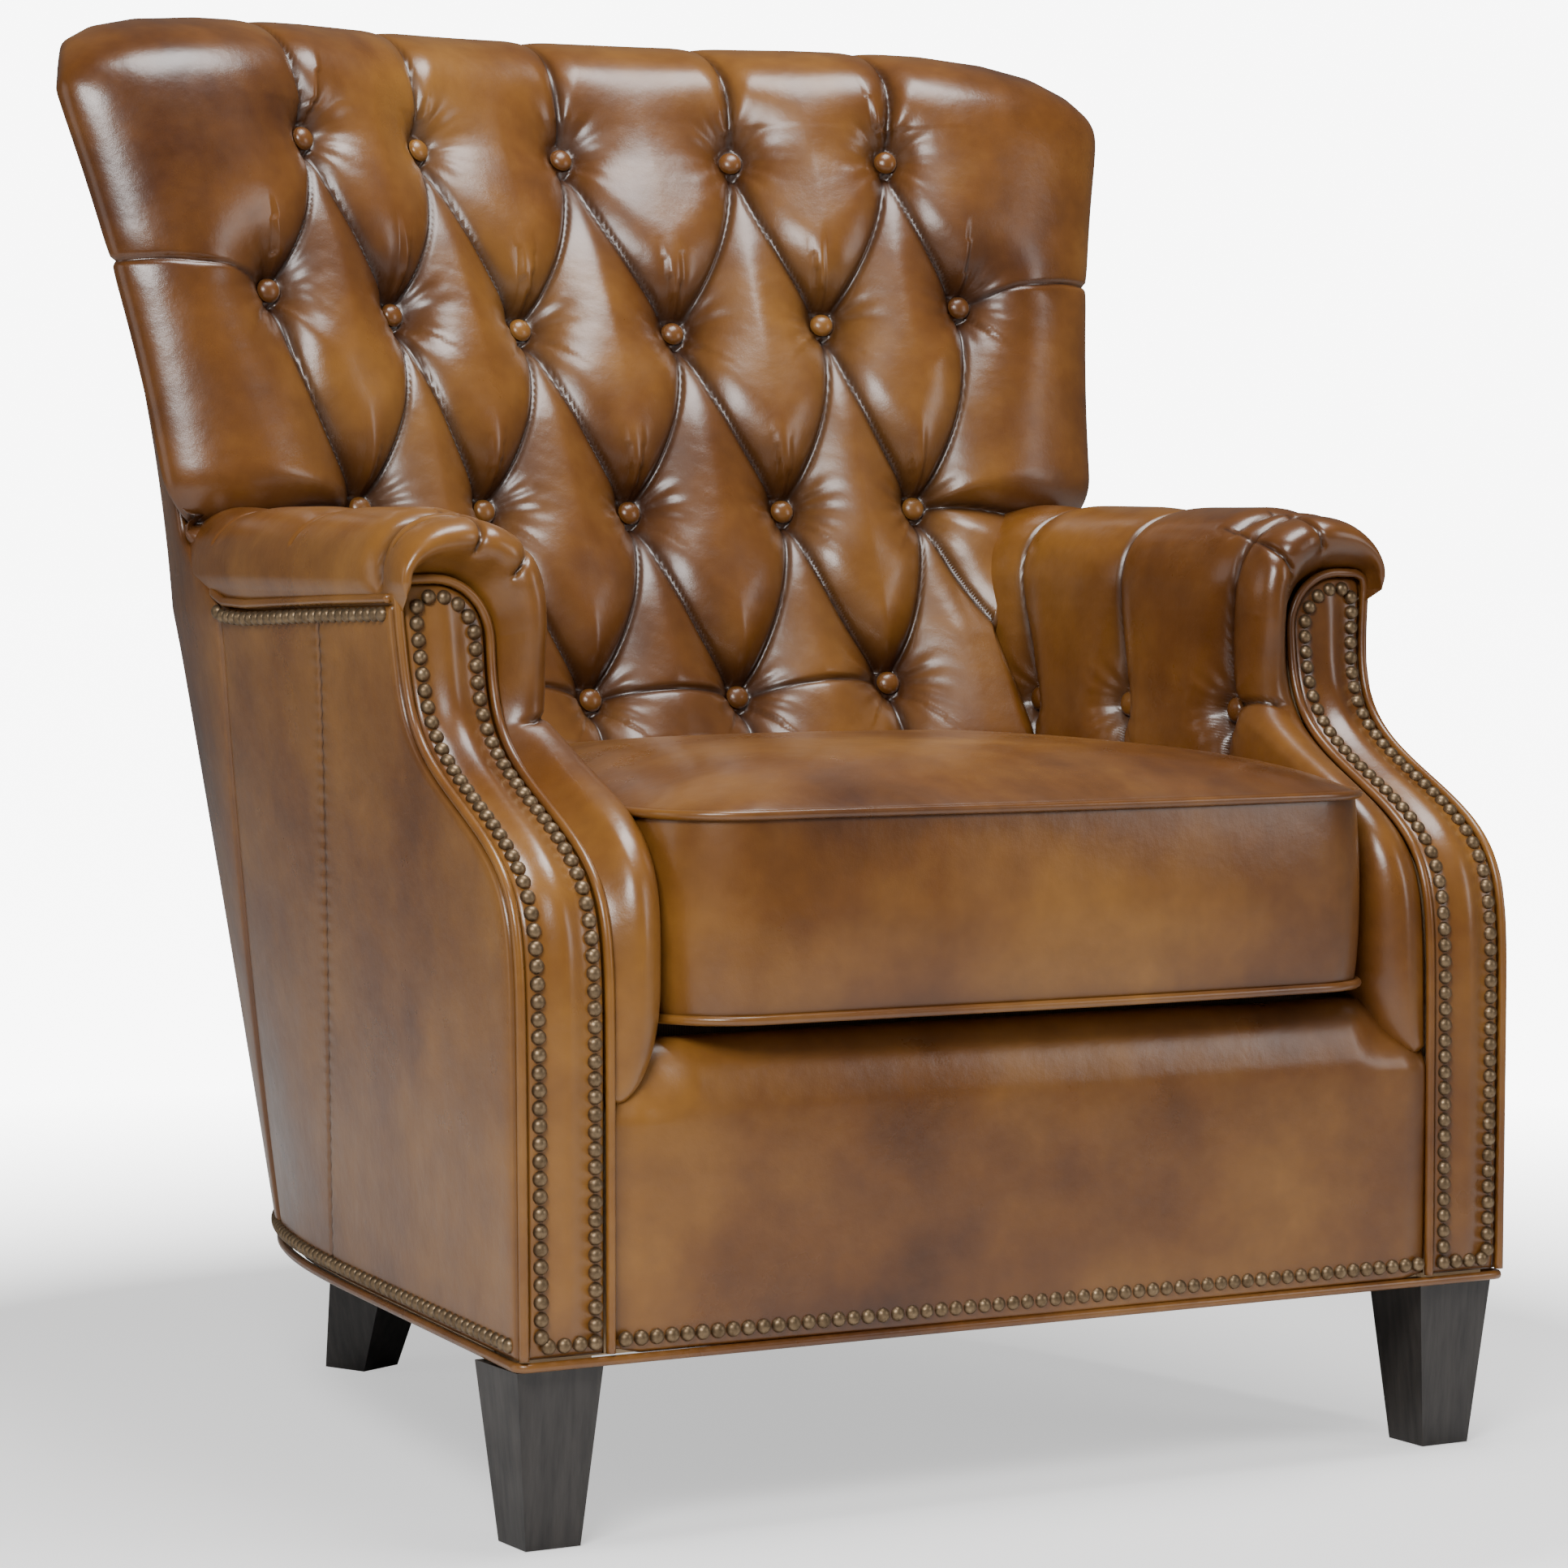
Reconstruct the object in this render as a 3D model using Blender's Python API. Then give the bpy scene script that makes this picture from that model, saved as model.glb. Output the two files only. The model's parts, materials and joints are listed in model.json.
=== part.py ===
"""Button-tufted leather armchair with low set-back arms and a loose box cushion.

The chair faces -Y, +Z is up and the origin is at the middle of its footprint on the floor.
Left and right are those of a person sitting in it, so left is +X.  Sizes are in metres.
The shapes are laid out with y = 0 at the feet of the front legs; the last step moves the
empty that carries every piece, so that the whole chair is centred on the origin.
"""

import math

import bmesh
import bpy
import mathutils
import numpy as np

# ---------------------------------------------------------------- driving dimensions
LEG_HEIGHT = 0.119
LEG_FOOT = 0.040
LEG_TOP = 0.0625
FRONT_LEG = (0.361, 0.020)
REAR_LEG_TOP = (0.182, 0.636)
REAR_LEG_FOOT = (0.185, 0.6825)
REAR_LEG_TURN = math.radians(24)
REAR_BLOCK = 0.046
BOLT_R = 0.004

BASE_Z = 0.124
LEATHER_Z = 0.1285
BASE_WELT_Z = 0.1238
DUST_Z = (0.1205, 0.1225)
RAIL_TOP = 0.300
RAIL_THICK = 0.022
SKIN = 0.004
GAP = 0.0005
BORDER_FRONT = -0.019
DECK_Z = (0.316, 0.336)

PANEL_INNER = 0.333
PANEL_TOP = 0.6245
PANEL_CORNER = 0.038
PANEL_THICK = 0.012
PANEL_RUN = 0.462  # how far the panel's rows reach up before its rounded top squeezes them
ARM_RAIL_Z = (0.583, 0.606)
ARM_SEAM_Z = 0.6095
ARM_TOP = 0.678
ARM_PAD_LOW = 0.3275
ARM_PAD_BACK = 0.3245
ARM_REAR = 0.500

BACK_POST = (0.226, 0.258)
BACK_EDGE_Z = 0.984
BACK_TOP = 1.053
BACK_LOW_HALF = 0.2825
BACK_LOW_ROWS = (0.3385, 0.43, 0.53, 0.60, 0.632)
BACK_HIGH_ROWS = (0.648, 0.70, 0.76, 0.82, 0.88, 0.935, 0.9845)
PAD = 0.060

CUSHION_HALF = 0.281
CUSHION_Y = (-0.036, 0.432)
CUSHION_Z = (0.3375, 0.4750, 0.5105)
CUSHION_WALL = 0.0025

WELT_R = 0.0035
NAIL_R = 0.0035
SPRING_WIRE_R = 0.0018

SIDES = (("left", 1), ("right", -1))

COLOURS = {
    "leather": ((0.42, 0.19, 0.07), 0.42, 0.0),
    "leg_wood": ((0.035, 0.027, 0.024), 0.45, 0.0),
    "frame_wood": ((0.62, 0.47, 0.30), 0.70, 0.0),
    "nail_brass": ((0.30, 0.22, 0.13), 0.38, 1.0),
    "spring_steel": ((0.30, 0.30, 0.32), 0.40, 1.0),
    "bolt_steel": ((0.60, 0.60, 0.62), 0.35, 1.0),
    "foam": ((0.86, 0.80, 0.62), 0.90, 0.0),
    "deck_cloth": ((0.16, 0.11, 0.08), 0.92, 0.0),
    "dust_cloth": ((0.03, 0.03, 0.03), 0.95, 0.0),
}


# ---------------------------------------------------------------- the shape of the chair
def side_width(z):
    """Half the width of the outside at the front: it widens gently, and flares above the arms."""
    flare = np.maximum(0.0, (z - 0.55) / 0.41)
    return 0.3935 + 0.012 * (z - 0.12) + 0.068 * flare**2


def side_taper(z):
    """How fast the sides close in towards the back, in metres per metre."""
    return np.maximum(0.0, 0.12 - 0.25 * (z - 0.12))


def rear_depth(z):
    """Where the outside of the back stands at its middle."""
    return 0.76 + 0.107 * (z - 0.12)


CORNER_Y = 0.30  # the sides run straight as far back as this, then round into the back


def outside_x(y, z, inset=0.0):
    """The outside's half width at depth y and height z: a cubic superellipse behind CORNER_Y."""
    reach = np.clip((y - CORNER_Y) / (rear_depth(z) - inset - CORNER_Y), 0.0, 1.0)
    straight = side_width(z) - inset - side_taper(z) * y
    return straight * (1 - reach**3) ** (1 / 3)


def outside_y(x, z, inset=0.0):
    """The outside's depth at half width x: outside_x solved for y by repeated substitution."""
    y = 0.7
    for _ in range(12):
        share = np.clip(abs(x) / (side_width(z) - inset - side_taper(z) * y), 0.0, 1.0)
        y = CORNER_Y + (rear_depth(z) - inset - CORNER_Y) * (1 - share**3) ** (1 / 3)
    return y


def outside_loop(z, start_y, count, inset=0.0):
    """Points round the back from the left side at depth start_y to the right, evenly spaced."""
    rear = rear_depth(z) - inset
    steps = np.linspace(0, 1, 400)
    y = start_y + (rear - start_y) * (1 - (1 - steps) ** 3)
    half = np.stack([outside_x(y, z, inset), y], 1)
    whole = np.concatenate([half, half[-2::-1] * (-1, 1)])
    along = np.concatenate([[0], np.cumsum(np.linalg.norm(np.diff(whole, axis=0), axis=1))])
    at = np.linspace(0, along[-1], count)
    x, y = (np.interp(at, along, whole[:, k]) for k in (0, 1))
    return np.stack([x, y, np.full(count, z)], 1)


def back_seam_y(z):
    """Where the outside back's leather starts on each side: the arm's seam, then the wing's edge."""
    return float(np.interp(z, (0.12, 0.605, 0.656, 1.0), (0.557, 0.460, 0.5465, 0.6274)))


def arm_front_y(z):
    """The front of the arm seen from the side: an S that sets the top of the arm back."""
    return 0.0675 + 0.0875 * math.tanh((z - 0.478) / 0.045)


def arm_front(x, z, depth=0.0):
    """A point on the arm's front at (x, z), moved in by depth square to the surface."""
    slope = (arm_front_y(z + 1e-4) - arm_front_y(z - 1e-4)) / 2e-4
    long = math.hypot(1, slope)
    return (x, arm_front_y(z) + depth / long, z - depth * slope / long)


def back_front_y(z):
    """The face of the back at its middle, which leans more towards the top."""
    lean = 0.37 if z > 0.50 else 0.10
    return 0.4806 + lean * (z - 0.50) + 0.4 * max(0.0, z - 0.70) ** 2


def back_point(s, z):
    """The face of the back at lateral share s (-1 to 1) and height z.

    The face hollows by a squared sine out to the wing, and then turns round the wing's roll,
    an ellipse that ends a little past its widest point, at the outside's seam.
    """
    wing_y = 0.515 + 0.235 * (z - 0.675)
    seam = back_seam_y(z) - 0.0025
    edge = outside_x(seam, z) + 0.001
    past = math.radians(105)
    deep = (seam - wing_y) / (1 - math.cos(past))
    reach = 0.052
    wing_x = edge - reach * math.sin(past)
    share = min(1.0, abs(s) / 0.8)
    middle = back_front_y(z)
    y = middle - (middle - wing_y) * math.sin(math.pi / 2 * share) ** 2
    x = wing_x * share
    if abs(s) > 0.8:
        turn = (abs(s) - 0.8) / 0.2 * past
        x += reach * math.sin(turn)
        y += deep * (1 - math.cos(turn))
    return (math.copysign(x, s), y, z)


# ---------------------------------------------------------------- building helpers
def material(name):
    colour, roughness, metallic = COLOURS[name]
    made = bpy.data.materials.get(name) or bpy.data.materials.new(name)
    made.use_nodes = True
    shader = made.node_tree.nodes["Principled BSDF"]
    shader.inputs["Base Color"].default_value = (*colour, 1)
    shader.inputs["Roughness"].default_value = roughness
    shader.inputs["Metallic"].default_value = metallic
    return made


def add(name, data, stuff, smooth=True):
    """Puts a mesh or curve in the scene as one named piece of the chair."""
    piece = bpy.data.objects.new(name, data)
    bpy.context.scene.collection.objects.link(piece)
    piece.parent = bpy.data.objects["armchair"]
    data.materials.append(material(stuff))
    if smooth and isinstance(data, bpy.types.Mesh):
        data.shade_smooth()
        data.set_sharp_from_angle(angle=math.radians(40))
    return piece


def closed_mesh(name, points, faces):
    """A mesh whose faces all point outwards."""
    mesh = bpy.data.meshes.new(name)
    mesh.from_pydata([tuple(map(float, p)) for p in points], [], faces)
    work = bmesh.new()
    work.from_mesh(mesh)
    bmesh.ops.recalc_face_normals(work, faces=work.faces)
    work.to_mesh(mesh)
    work.free()
    return mesh


def plate(name, front, back, stuff):
    """A solid between two grids of points of the same size, closed round its edge."""
    front, back = np.asarray(front, float), np.asarray(back, float)
    rows, columns = front.shape[:2]
    size = rows * columns
    points = np.concatenate([front.reshape(-1, 3), back.reshape(-1, 3)])
    faces = []
    for r in range(rows - 1):
        for c in range(columns - 1):
            a = r * columns + c
            quad = (a, a + 1, a + columns + 1, a + columns)
            faces += [quad, tuple(size + i for i in reversed(quad))]
    rim = [c for c in range(columns)]
    rim += [r * columns + columns - 1 for r in range(1, rows)]
    rim += [(rows - 1) * columns + c for c in range(columns - 2, -1, -1)]
    rim += [r * columns for r in range(rows - 2, 0, -1)]
    for a, b in zip(rim, rim[1:] + rim[:1]):
        faces.append((a, size + a, size + b, b))
    return add(name, closed_mesh(name, points, faces), stuff)


def block(name, low, high, stuff):
    """A squared block between two corners."""
    x, y, z = zip(low, high)
    front = [[(a, y[0], c) for a in x] for c in z]
    back = [[(a, y[1], c) for a in x] for c in z]
    return plate(name, front, back, stuff)


def prism(name, outline, low, high, stuff):
    """An upright prism on a plan outline."""
    count = len(outline)
    points = [(*p, low) for p in outline] + [(*p, high) for p in outline]
    faces = [tuple(range(count)), tuple(range(count, 2 * count))]
    faces += [(i, (i + 1) % count, count + (i + 1) % count, count + i) for i in range(count)]
    return add(name, closed_mesh(name, points, faces), stuff)


def cord(name, points, radius, stuff, closed=False, resolution=1):
    """A tube of 4 + 2 * resolution sides along a line of points."""
    curve = bpy.data.curves.new(name, "CURVE")
    curve.dimensions = "3D"
    curve.bevel_depth = radius
    curve.bevel_resolution = resolution
    curve.use_fill_caps = True
    line = curve.splines.new("POLY")
    line.points.add(len(points) - 1)
    for at, p in zip(line.points, points):
        at.co = (*map(float, p), 1)
    line.use_cyclic_u = closed
    return add(name, curve, stuff)


def rod(name, centre, radius, low, high, stuff, sides=12):
    """An upright round rod."""
    turns = [2 * math.pi * k / sides for k in range(sides)]
    ring = [(centre[0] + radius * math.cos(a), centre[1] + radius * math.sin(a)) for a in turns]
    return prism(name, ring, low, high, stuff)


def cut(piece, tools):
    """Cuts a group of helper shapes out of a piece."""
    group = bpy.data.collections.new(piece.name + "_tools")
    bpy.context.scene.collection.children.link(group)
    for tool in tools:
        bpy.context.scene.collection.objects.unlink(tool)
        group.objects.link(tool)
        tool.hide_render = True
        tool.display_type = "WIRE"
    modifier = piece.modifiers.new("bores", "BOOLEAN")
    modifier.operation = "DIFFERENCE"
    modifier.operand_type = "COLLECTION"
    modifier.collection = group
    modifier.solver = "EXACT"


# ---------------------------------------------------------------- legs and frame
def square(centre, width, turn=0.0):
    """The corners of a square on plan."""
    corners = ((-1, -1), (1, -1), (1, 1), (-1, 1))
    c, s = math.cos(turn) * width / 2, math.sin(turn) * width / 2
    return [(centre[0] + c * x - s * y, centre[1] + s * x + c * y) for x, y in corners]


def leg(name, foot, top, turn, side):
    """A square leg that tapers down to its foot, bored for its bolt."""
    low = square((side * foot[0], foot[1]), LEG_FOOT, -side * turn)
    high = square((side * top[0], top[1]), LEG_TOP, -side * turn)
    points = [(*p, 0.0) for p in low] + [(*p, LEG_HEIGHT) for p in high]
    faces = [(0, 1, 2, 3), (4, 5, 6, 7)]
    faces += [(i, (i + 1) % 4, 4 + (i + 1) % 4, 4 + i) for i in range(4)]
    piece = add(name, closed_mesh(name, points, faces), "leg_wood", smooth=False)
    at = (side * top[0], top[1])
    bore = rod(name + "_bore", at, BOLT_R + GAP, LEG_HEIGHT - 0.036, 0.14, "leg_wood")
    rod(name + "_bolt", at, BOLT_R, LEG_HEIGHT - 0.034, BASE_Z + 0.028, "bolt_steel")
    cut(piece, [bore])


def build_legs():
    for name, side in SIDES:
        leg(f"front_leg_{name}", FRONT_LEG, FRONT_LEG, 0.0, side)
        leg(f"rear_leg_{name}", REAR_LEG_FOOT, REAR_LEG_TOP, REAR_LEG_TURN, side)


def ring_rail(name, low, high, inset, start_y, count, stop_x=0.0):
    """A bent rail inside the outside leather, round the back or along one side to stop_x."""
    walls = []
    for depth in (inset, inset + RAIL_THICK):
        rows = [outside_loop(z, start_y, count, depth) for z in (low, high)]
        if stop_x:
            keep = int(np.sum(rows[0][:, 0] > abs(stop_x)))
            rows = [r[:keep] for r in rows]
            rows = [r * (math.copysign(1, stop_x), 1, 1) for r in rows]
        walls.append(rows)
    keep = min(len(walls[0][0]), len(walls[1][0]))
    walls = [[r[:keep] for r in wall] for wall in walls]
    plate(name, walls[0], walls[1], "frame_wood")


def build_base():
    """The seat's frame: rails all round, glued blocks where the legs are bolted on."""
    inset = SKIN + 0.0035
    half = PANEL_INNER + 0.0015
    block("front_rail", (-half, 0.0, BASE_Z), (half, 0.025, RAIL_TOP), "frame_wood")
    ring_rail("rear_rail", BASE_Z, RAIL_TOP, inset, 0.43, 35)
    for name, side in SIDES:
        depths = np.linspace(0.046, 0.429, 6)
        walls = []
        for depth in (inset, inset + RAIL_THICK):
            rows = [[(side * outside_x(y, z, depth), y, z) for y in depths] for z in (BASE_Z, RAIL_TOP)]
            walls.append(rows)
        plate(f"side_rail_{name}", *walls, "frame_wood")
        corner = [(side * x, y) for x, y in ((half - 0.001, 0.0258), (half - 0.001, 0.092), (0.268, 0.0258))]
        prism(f"front_corner_block_{name}", corner, BASE_Z, BASE_Z + 0.036, "frame_wood")
        at = (side * REAR_LEG_TOP[0], REAR_LEG_TOP[1])
        seat = square(at, REAR_BLOCK, -side * REAR_LEG_TURN)
        foot = prism(f"rear_corner_block_{name}", seat, BASE_Z, BASE_Z + 0.036, "frame_wood")
        cut(foot, [rod(f"rear_hole_{name}", at, BOLT_R + GAP, 0.11, 0.17, "frame_wood")])


def build_uprights():
    """The arm posts, which follow the S of the panels, the arm rails and the back's frame."""
    heights = (BASE_Z, 0.30, 0.36, *np.linspace(0.375, 0.580, 16))
    for name, side in SIDES:
        front, back = [], []
        for z in heights:
            ahead = arm_front(0.0, z, PANEL_THICK + 0.0025)[1:]
            behind = (arm_front_y(z) + 0.058, z)
            for wall, (y, height) in ((front, ahead), (back, behind)):
                height = max(height, BASE_Z)
                edges = (PANEL_INNER + 0.0025, outside_x(y, height, SKIN + 0.0025))
                wall.append([(side * x, y, height) for x in edges])
        post = plate(f"arm_post_{name}", front, back, "frame_wood")
        at = (side * FRONT_LEG[0], FRONT_LEG[1])
        cut(post, [rod(f"post_hole_{name}", at, BOLT_R + GAP, 0.11, BASE_Z + 0.030, "frame_wood")])

        walls = []
        for push in (0.0, 0.035):
            levels = ((RAIL_TOP + GAP, 0.650), (0.62, 0.695), (0.9395, 0.742))
            walls.append([[(side * x, y + push, z) for x in BACK_POST] for z, y in levels])
        plate(f"back_post_{name}", *walls, "frame_wood")
        stop = side * (BACK_POST[1] + 0.004)
        ring_rail(f"arm_rail_{name}", *ARM_RAIL_Z, SKIN + 0.004, 0.218, 61, stop)
    ring_rail("back_top_rail", 0.940, BACK_EDGE_Z - 0.002, 0.010, 0.66, 17)


def build_springs():
    """Five sinuous springs from the front rail to the rear rail."""
    z = RAIL_TOP + SPRING_WIRE_R + 0.0002
    for number, x in enumerate((-0.19, -0.095, 0.0, 0.095, 0.19), 1):
        start, loops, swing = 0.012, 12, 0.020
        end = outside_y(abs(x) + swing, RAIL_TOP, SKIN + 0.002 + RAIL_THICK / 2)
        pitch = (end - start) / loops
        path = [(x, start, z)]
        for k in range(loops):
            way = 1 if k % 2 else -1
            for share in (0.15, 0.5, 0.85):
                sway = way * swing * math.sin(math.pi * share)
                path.append((x + sway, start + pitch * (k + share), z))
        path.append((x, end, z))
        cord(f"seat_spring_{number}", path, SPRING_WIRE_R, "spring_steel", resolution=0)


def build_linings():
    """The deck over the springs, the black cloth under the seat and the padded front border."""
    block("seat_deck", (-0.2825, 0.034, DECK_Z[0]), (0.2825, 0.560, DECK_Z[1]), "deck_cloth")
    rim = outside_loop(BASE_Z, 0.042, 29, 0.010)[:, :2]
    cover = prism("dust_cover", [tuple(p) for p in rim], *DUST_Z, "dust_cloth")
    bores = []
    for name, side in SIDES:
        at = (side * REAR_LEG_TOP[0], REAR_LEG_TOP[1])
        bores.append(rod(f"dust_hole_{name}", at, BOLT_R + GAP, 0.11, 0.14, "dust_cloth"))
    cut(cover, bores)

    ahead = ((-0.019, LEATHER_Z), (-0.019, 0.22), (-0.019, 0.300), (-0.0165, 0.312))
    ahead += ((-0.008, 0.3215), (0.004, 0.325), (0.018, 0.325), (0.030, 0.3235))
    behind = ((-0.0012, LEATHER_Z), (-0.0012, 0.22), (-0.0012, 0.297), (-0.0012, 0.3015))
    behind += ((0.0, 0.3046), (0.008, 0.3046), (0.018, 0.3046), (0.030, 0.3046))
    edge = PANEL_INNER - 2 * WELT_R - 0.0005
    across = np.linspace(-edge, edge, 5)
    walls = [[[(x, y, z) for x in across] for y, z in line] for line in (ahead, behind)]
    plate("front_border", *walls, "leather")


# ---------------------------------------------------------------- covers
def build_outside():
    """The thin leather of the outside: a panel on each arm and one round the back."""
    heights = (LEATHER_Z, 0.25, 0.36, 0.42, 0.46, 0.50, 0.54, 0.575, ARM_SEAM_Z - 0.0055)
    for name, side in SIDES:
        walls = []
        for depth in (0.0, SKIN):
            rows = []
            for z in heights:
                y = np.linspace(arm_front_y(z) + 0.014, back_seam_y(z) - 0.001, 14)
                rows.append([(side * outside_x(v, z, depth), v, z) for v in y])
            walls.append(rows)
        plate(f"outside_arm_{name}", *walls, "leather")
    heights = (LEATHER_Z, 0.25, 0.37, 0.49, 0.603, 0.63, *BACK_HIGH_ROWS[:-1], BACK_EDGE_Z)
    walls = [[outside_loop(z, back_seam_y(z), 41, d) for z in heights] for d in (0.0, SKIN)]
    plate("outside_back", *walls, "leather")


def panel_outline(inset):
    """The arm panel's edge as (x, z), up the inner side, over the top and down the outer side."""
    inner = PANEL_INNER + inset
    top = PANEL_TOP - inset
    low = LEATHER_Z + max(inset, 0.0)
    corner = PANEL_CORNER - inset
    line = [(inner, z) for z in np.linspace(low, top - corner, 24)]
    for turn in np.radians((22.5, 45, 67.5, 90)):
        line.append((inner + corner * (1 - math.cos(turn)), top - corner * (1 - math.sin(turn))))
    outer_top = panel_outer(top) - inset
    line.append((outer_top - 0.006, top - 0.0005))
    line += [(panel_outer(z) - inset, z) for z in np.linspace(top - 0.006, low, 28)]
    return line


def panel_outer(z):
    """The panel's outer edge, just inside the side's leather."""
    return outside_x(arm_front_y(z), z, 2 * WELT_R + 0.0005)


def build_panels():
    """The S-shaped leather panels on the fronts of the arms, with their welts and nails."""
    heights = (0.22, 0.33, 0.36, *np.linspace(0.375, 0.585, 20))
    shares = (0.0, 0.07, 0.2, 0.4, 0.65, 0.9, 1.0)
    drops = (PANEL_CORNER, 0.0245, 0.0125, 0.0035, 0.0, 0.0, 0.005)
    for name, side in SIDES:
        walls = []
        for depth in (0.0, PANEL_THICK):
            rows = []
            for z in (LEATHER_Z, *heights, None):
                row = []
                for share, drop in zip(shares, drops):
                    top = PANEL_TOP - drop
                    level = top
                    if z is not None:
                        level = min(z, LEATHER_Z + (z - LEATHER_Z) * (top - LEATHER_Z) / PANEL_RUN)
                    x = PANEL_INNER + (panel_outer(level) - PANEL_INNER) * share
                    point = arm_front(x, level, depth)
                    row.append((side * x, point[1], max(point[2], LEATHER_Z)))
                rows.append(row)
            walls.append(rows)
        plate(f"arm_panel_{name}", *walls, "leather")
        welt = [arm_front(x, z, 0.0015) for x, z in panel_outline(-WELT_R - 0.0004)]
        cord(f"arm_panel_welt_{name}", [(side * x, y, z) for x, y, z in welt], WELT_R, "leather")
        nails = [arm_front(x, z, -NAIL_R - 0.0014) for x, z in panel_outline(0.0075)]
        points = [(side * x, y, z) for x, y, z in nails]
        cord(f"arm_panel_nails_{name}", points, NAIL_R, "nail_brass", closed=True)


def arm_pad_section(y, shrink):
    """The inside arm's section at depth y: the leather's side and the side against the frame.

    It rises past the seat, rolls over the arm and ends at the outside seam.
    """
    outer = outside_x(y, ARM_SEAM_Z, 0.0 if y < 0.455 else SKIN + 0.005)
    under = ARM_SEAM_Z + 0.0055 if y > 0.185 else PANEL_TOP + 2 * WELT_R + 0.0025
    face = [(0.285, ARM_PAD_LOW), (0.2845, 0.42), (0.2845, 0.50), (0.286, 0.56), (0.288, 0.61)]
    face += [(0.293, 0.640), (0.308, 0.662), (0.332, ARM_TOP - 0.003), (0.357, ARM_TOP)]
    face += [(outer - 0.022, 0.671), (outer - 0.005, 0.656), (outer + 0.003, 0.640)]
    face += [(outer + 0.001, under + 0.0015)]
    back = [(ARM_PAD_BACK, z) for z in (ARM_PAD_LOW, 0.42, 0.50, 0.56, 0.60)]
    back += [(x, under) for x in np.linspace(ARM_PAD_BACK, outer - 0.0015, 8)]
    face, back = np.array(face), np.array(back)
    away = np.gradient(face, axis=0)
    away = np.stack([away[:, 1], -away[:, 0]], 1) / np.linalg.norm(away, axis=1)[:, None]
    moved = face + away * shrink
    moved[0, 1], moved[-1, 1] = ARM_PAD_LOW, under + 0.0015
    moved[:, 0] = np.minimum(moved[:, 0], outer + 0.002)
    return moved, back


def arm_pad_front(z):
    """How far forward the inside arm comes: level with the panel below, ahead of it at the roll."""
    swell = min(1.0, max(0.0, (z - 0.49) / 0.07))
    return arm_front_y(z) - 0.004 - 0.030 * swell * swell * (3 - 2 * swell)


def build_arm_pads():
    steps = ((0.0, 0.016), (0.004, 0.007), (0.014, 0.002), (0.030, 0.0))
    spans = (0.20, 0.25, 0.45, 0.65, 0.87, 0.92, 1.0)
    for name, side in SIDES:
        front, back = [], []
        for step, shrink in steps:
            face, behind = arm_pad_section(0.14, shrink)
            front.append([(side * x, arm_pad_front(z) + step, z) for x, z in face])
            back.append([(side * x, arm_pad_front(f[1]) + step, z) for (x, z), f in zip(behind, face)])
        for span in spans:
            y_mid = 0.19 + (ARM_REAR - 0.19) * (span - 0.2) / 0.8 + (0.0 if span > 0.2 else -0.02)
            face, behind = arm_pad_section(y_mid, 0.0)
            front.append([(side * x, y_mid, z) for x, z in face])
            back.append([(side * x, y_mid, z) for x, z in behind])
        plate(f"inside_arm_{name}", front, back, "leather")


def build_back():
    """The padded inside back: its face, the roll over the top, and the wings."""
    shares = np.array([1, 0.95, 0.90, 0.85, 0.8, 0.64, 0.48, 0.32, 0.16, 0])
    shares = np.concatenate([shares, -shares[-2::-1]])
    front, back = [], []
    for z in BACK_LOW_ROWS:
        edge = np.interp(z, (0.336, 0.50, 0.60, 0.632), (0.437, 0.445, 0.490, 0.515))
        middle = back_front_y(z)
        ahead = [(BACK_LOW_HALF * s, middle - (middle - edge) * abs(s) ** 3, z) for s in shares]
        front.append(ahead)
        back.append([(x, y + PAD, z) for x, y, z in ahead])
    for z in BACK_HIGH_ROWS:
        ahead = [back_point(s, z) for s in shares]
        front.append(ahead)
        behind = []
        for s in shares:
            x, y, _ = back_point(s, z)
            turn = max(0.0, (abs(s) - 0.8) / 0.2)
            inner = math.copysign(abs(x) - 0.028 * turn, s)
            behind.append((inner, y + PAD * (1 - turn) + 0.004 * turn, z))
        back.append(behind)
    top = BACK_HIGH_ROWS[-1]
    ends = outside_loop(top, back_seam_y(top) + 0.002, len(shares), 0.001)
    starts, inners = np.array(front[-1]), np.array(back[-1])
    for turn in (0.12, 0.28, 0.5, 0.72, 0.88, 1.0):
        share = (1 - math.cos(math.pi * turn)) / 2
        here = starts + (ends - starts) * share
        span = np.minimum(1.0, np.linalg.norm(ends - starts, axis=1) / 0.09)
        rise = span * np.sqrt(np.maximum(0.0, 1 - (abs(here[:, 0]) / 0.47) ** 8))
        crest = top + 0.003 + (BACK_TOP - top - 0.003) * rise * math.sin(math.pi * turn)
        front.append([(x, y, z) for (x, y, _), z in zip(here, crest)])
        centre = np.array((0.0, 0.74, 0.0))
        behind = inners + (ends + (centre - ends) * 0.05 - inners) * share
        low = top + 0.0025 + 0.3 * (crest - top - 0.003)
        back.append([(x, y, z) for (x, y, _), z in zip(behind, low)])
    plate("inside_back", front, back, "leather")


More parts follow.
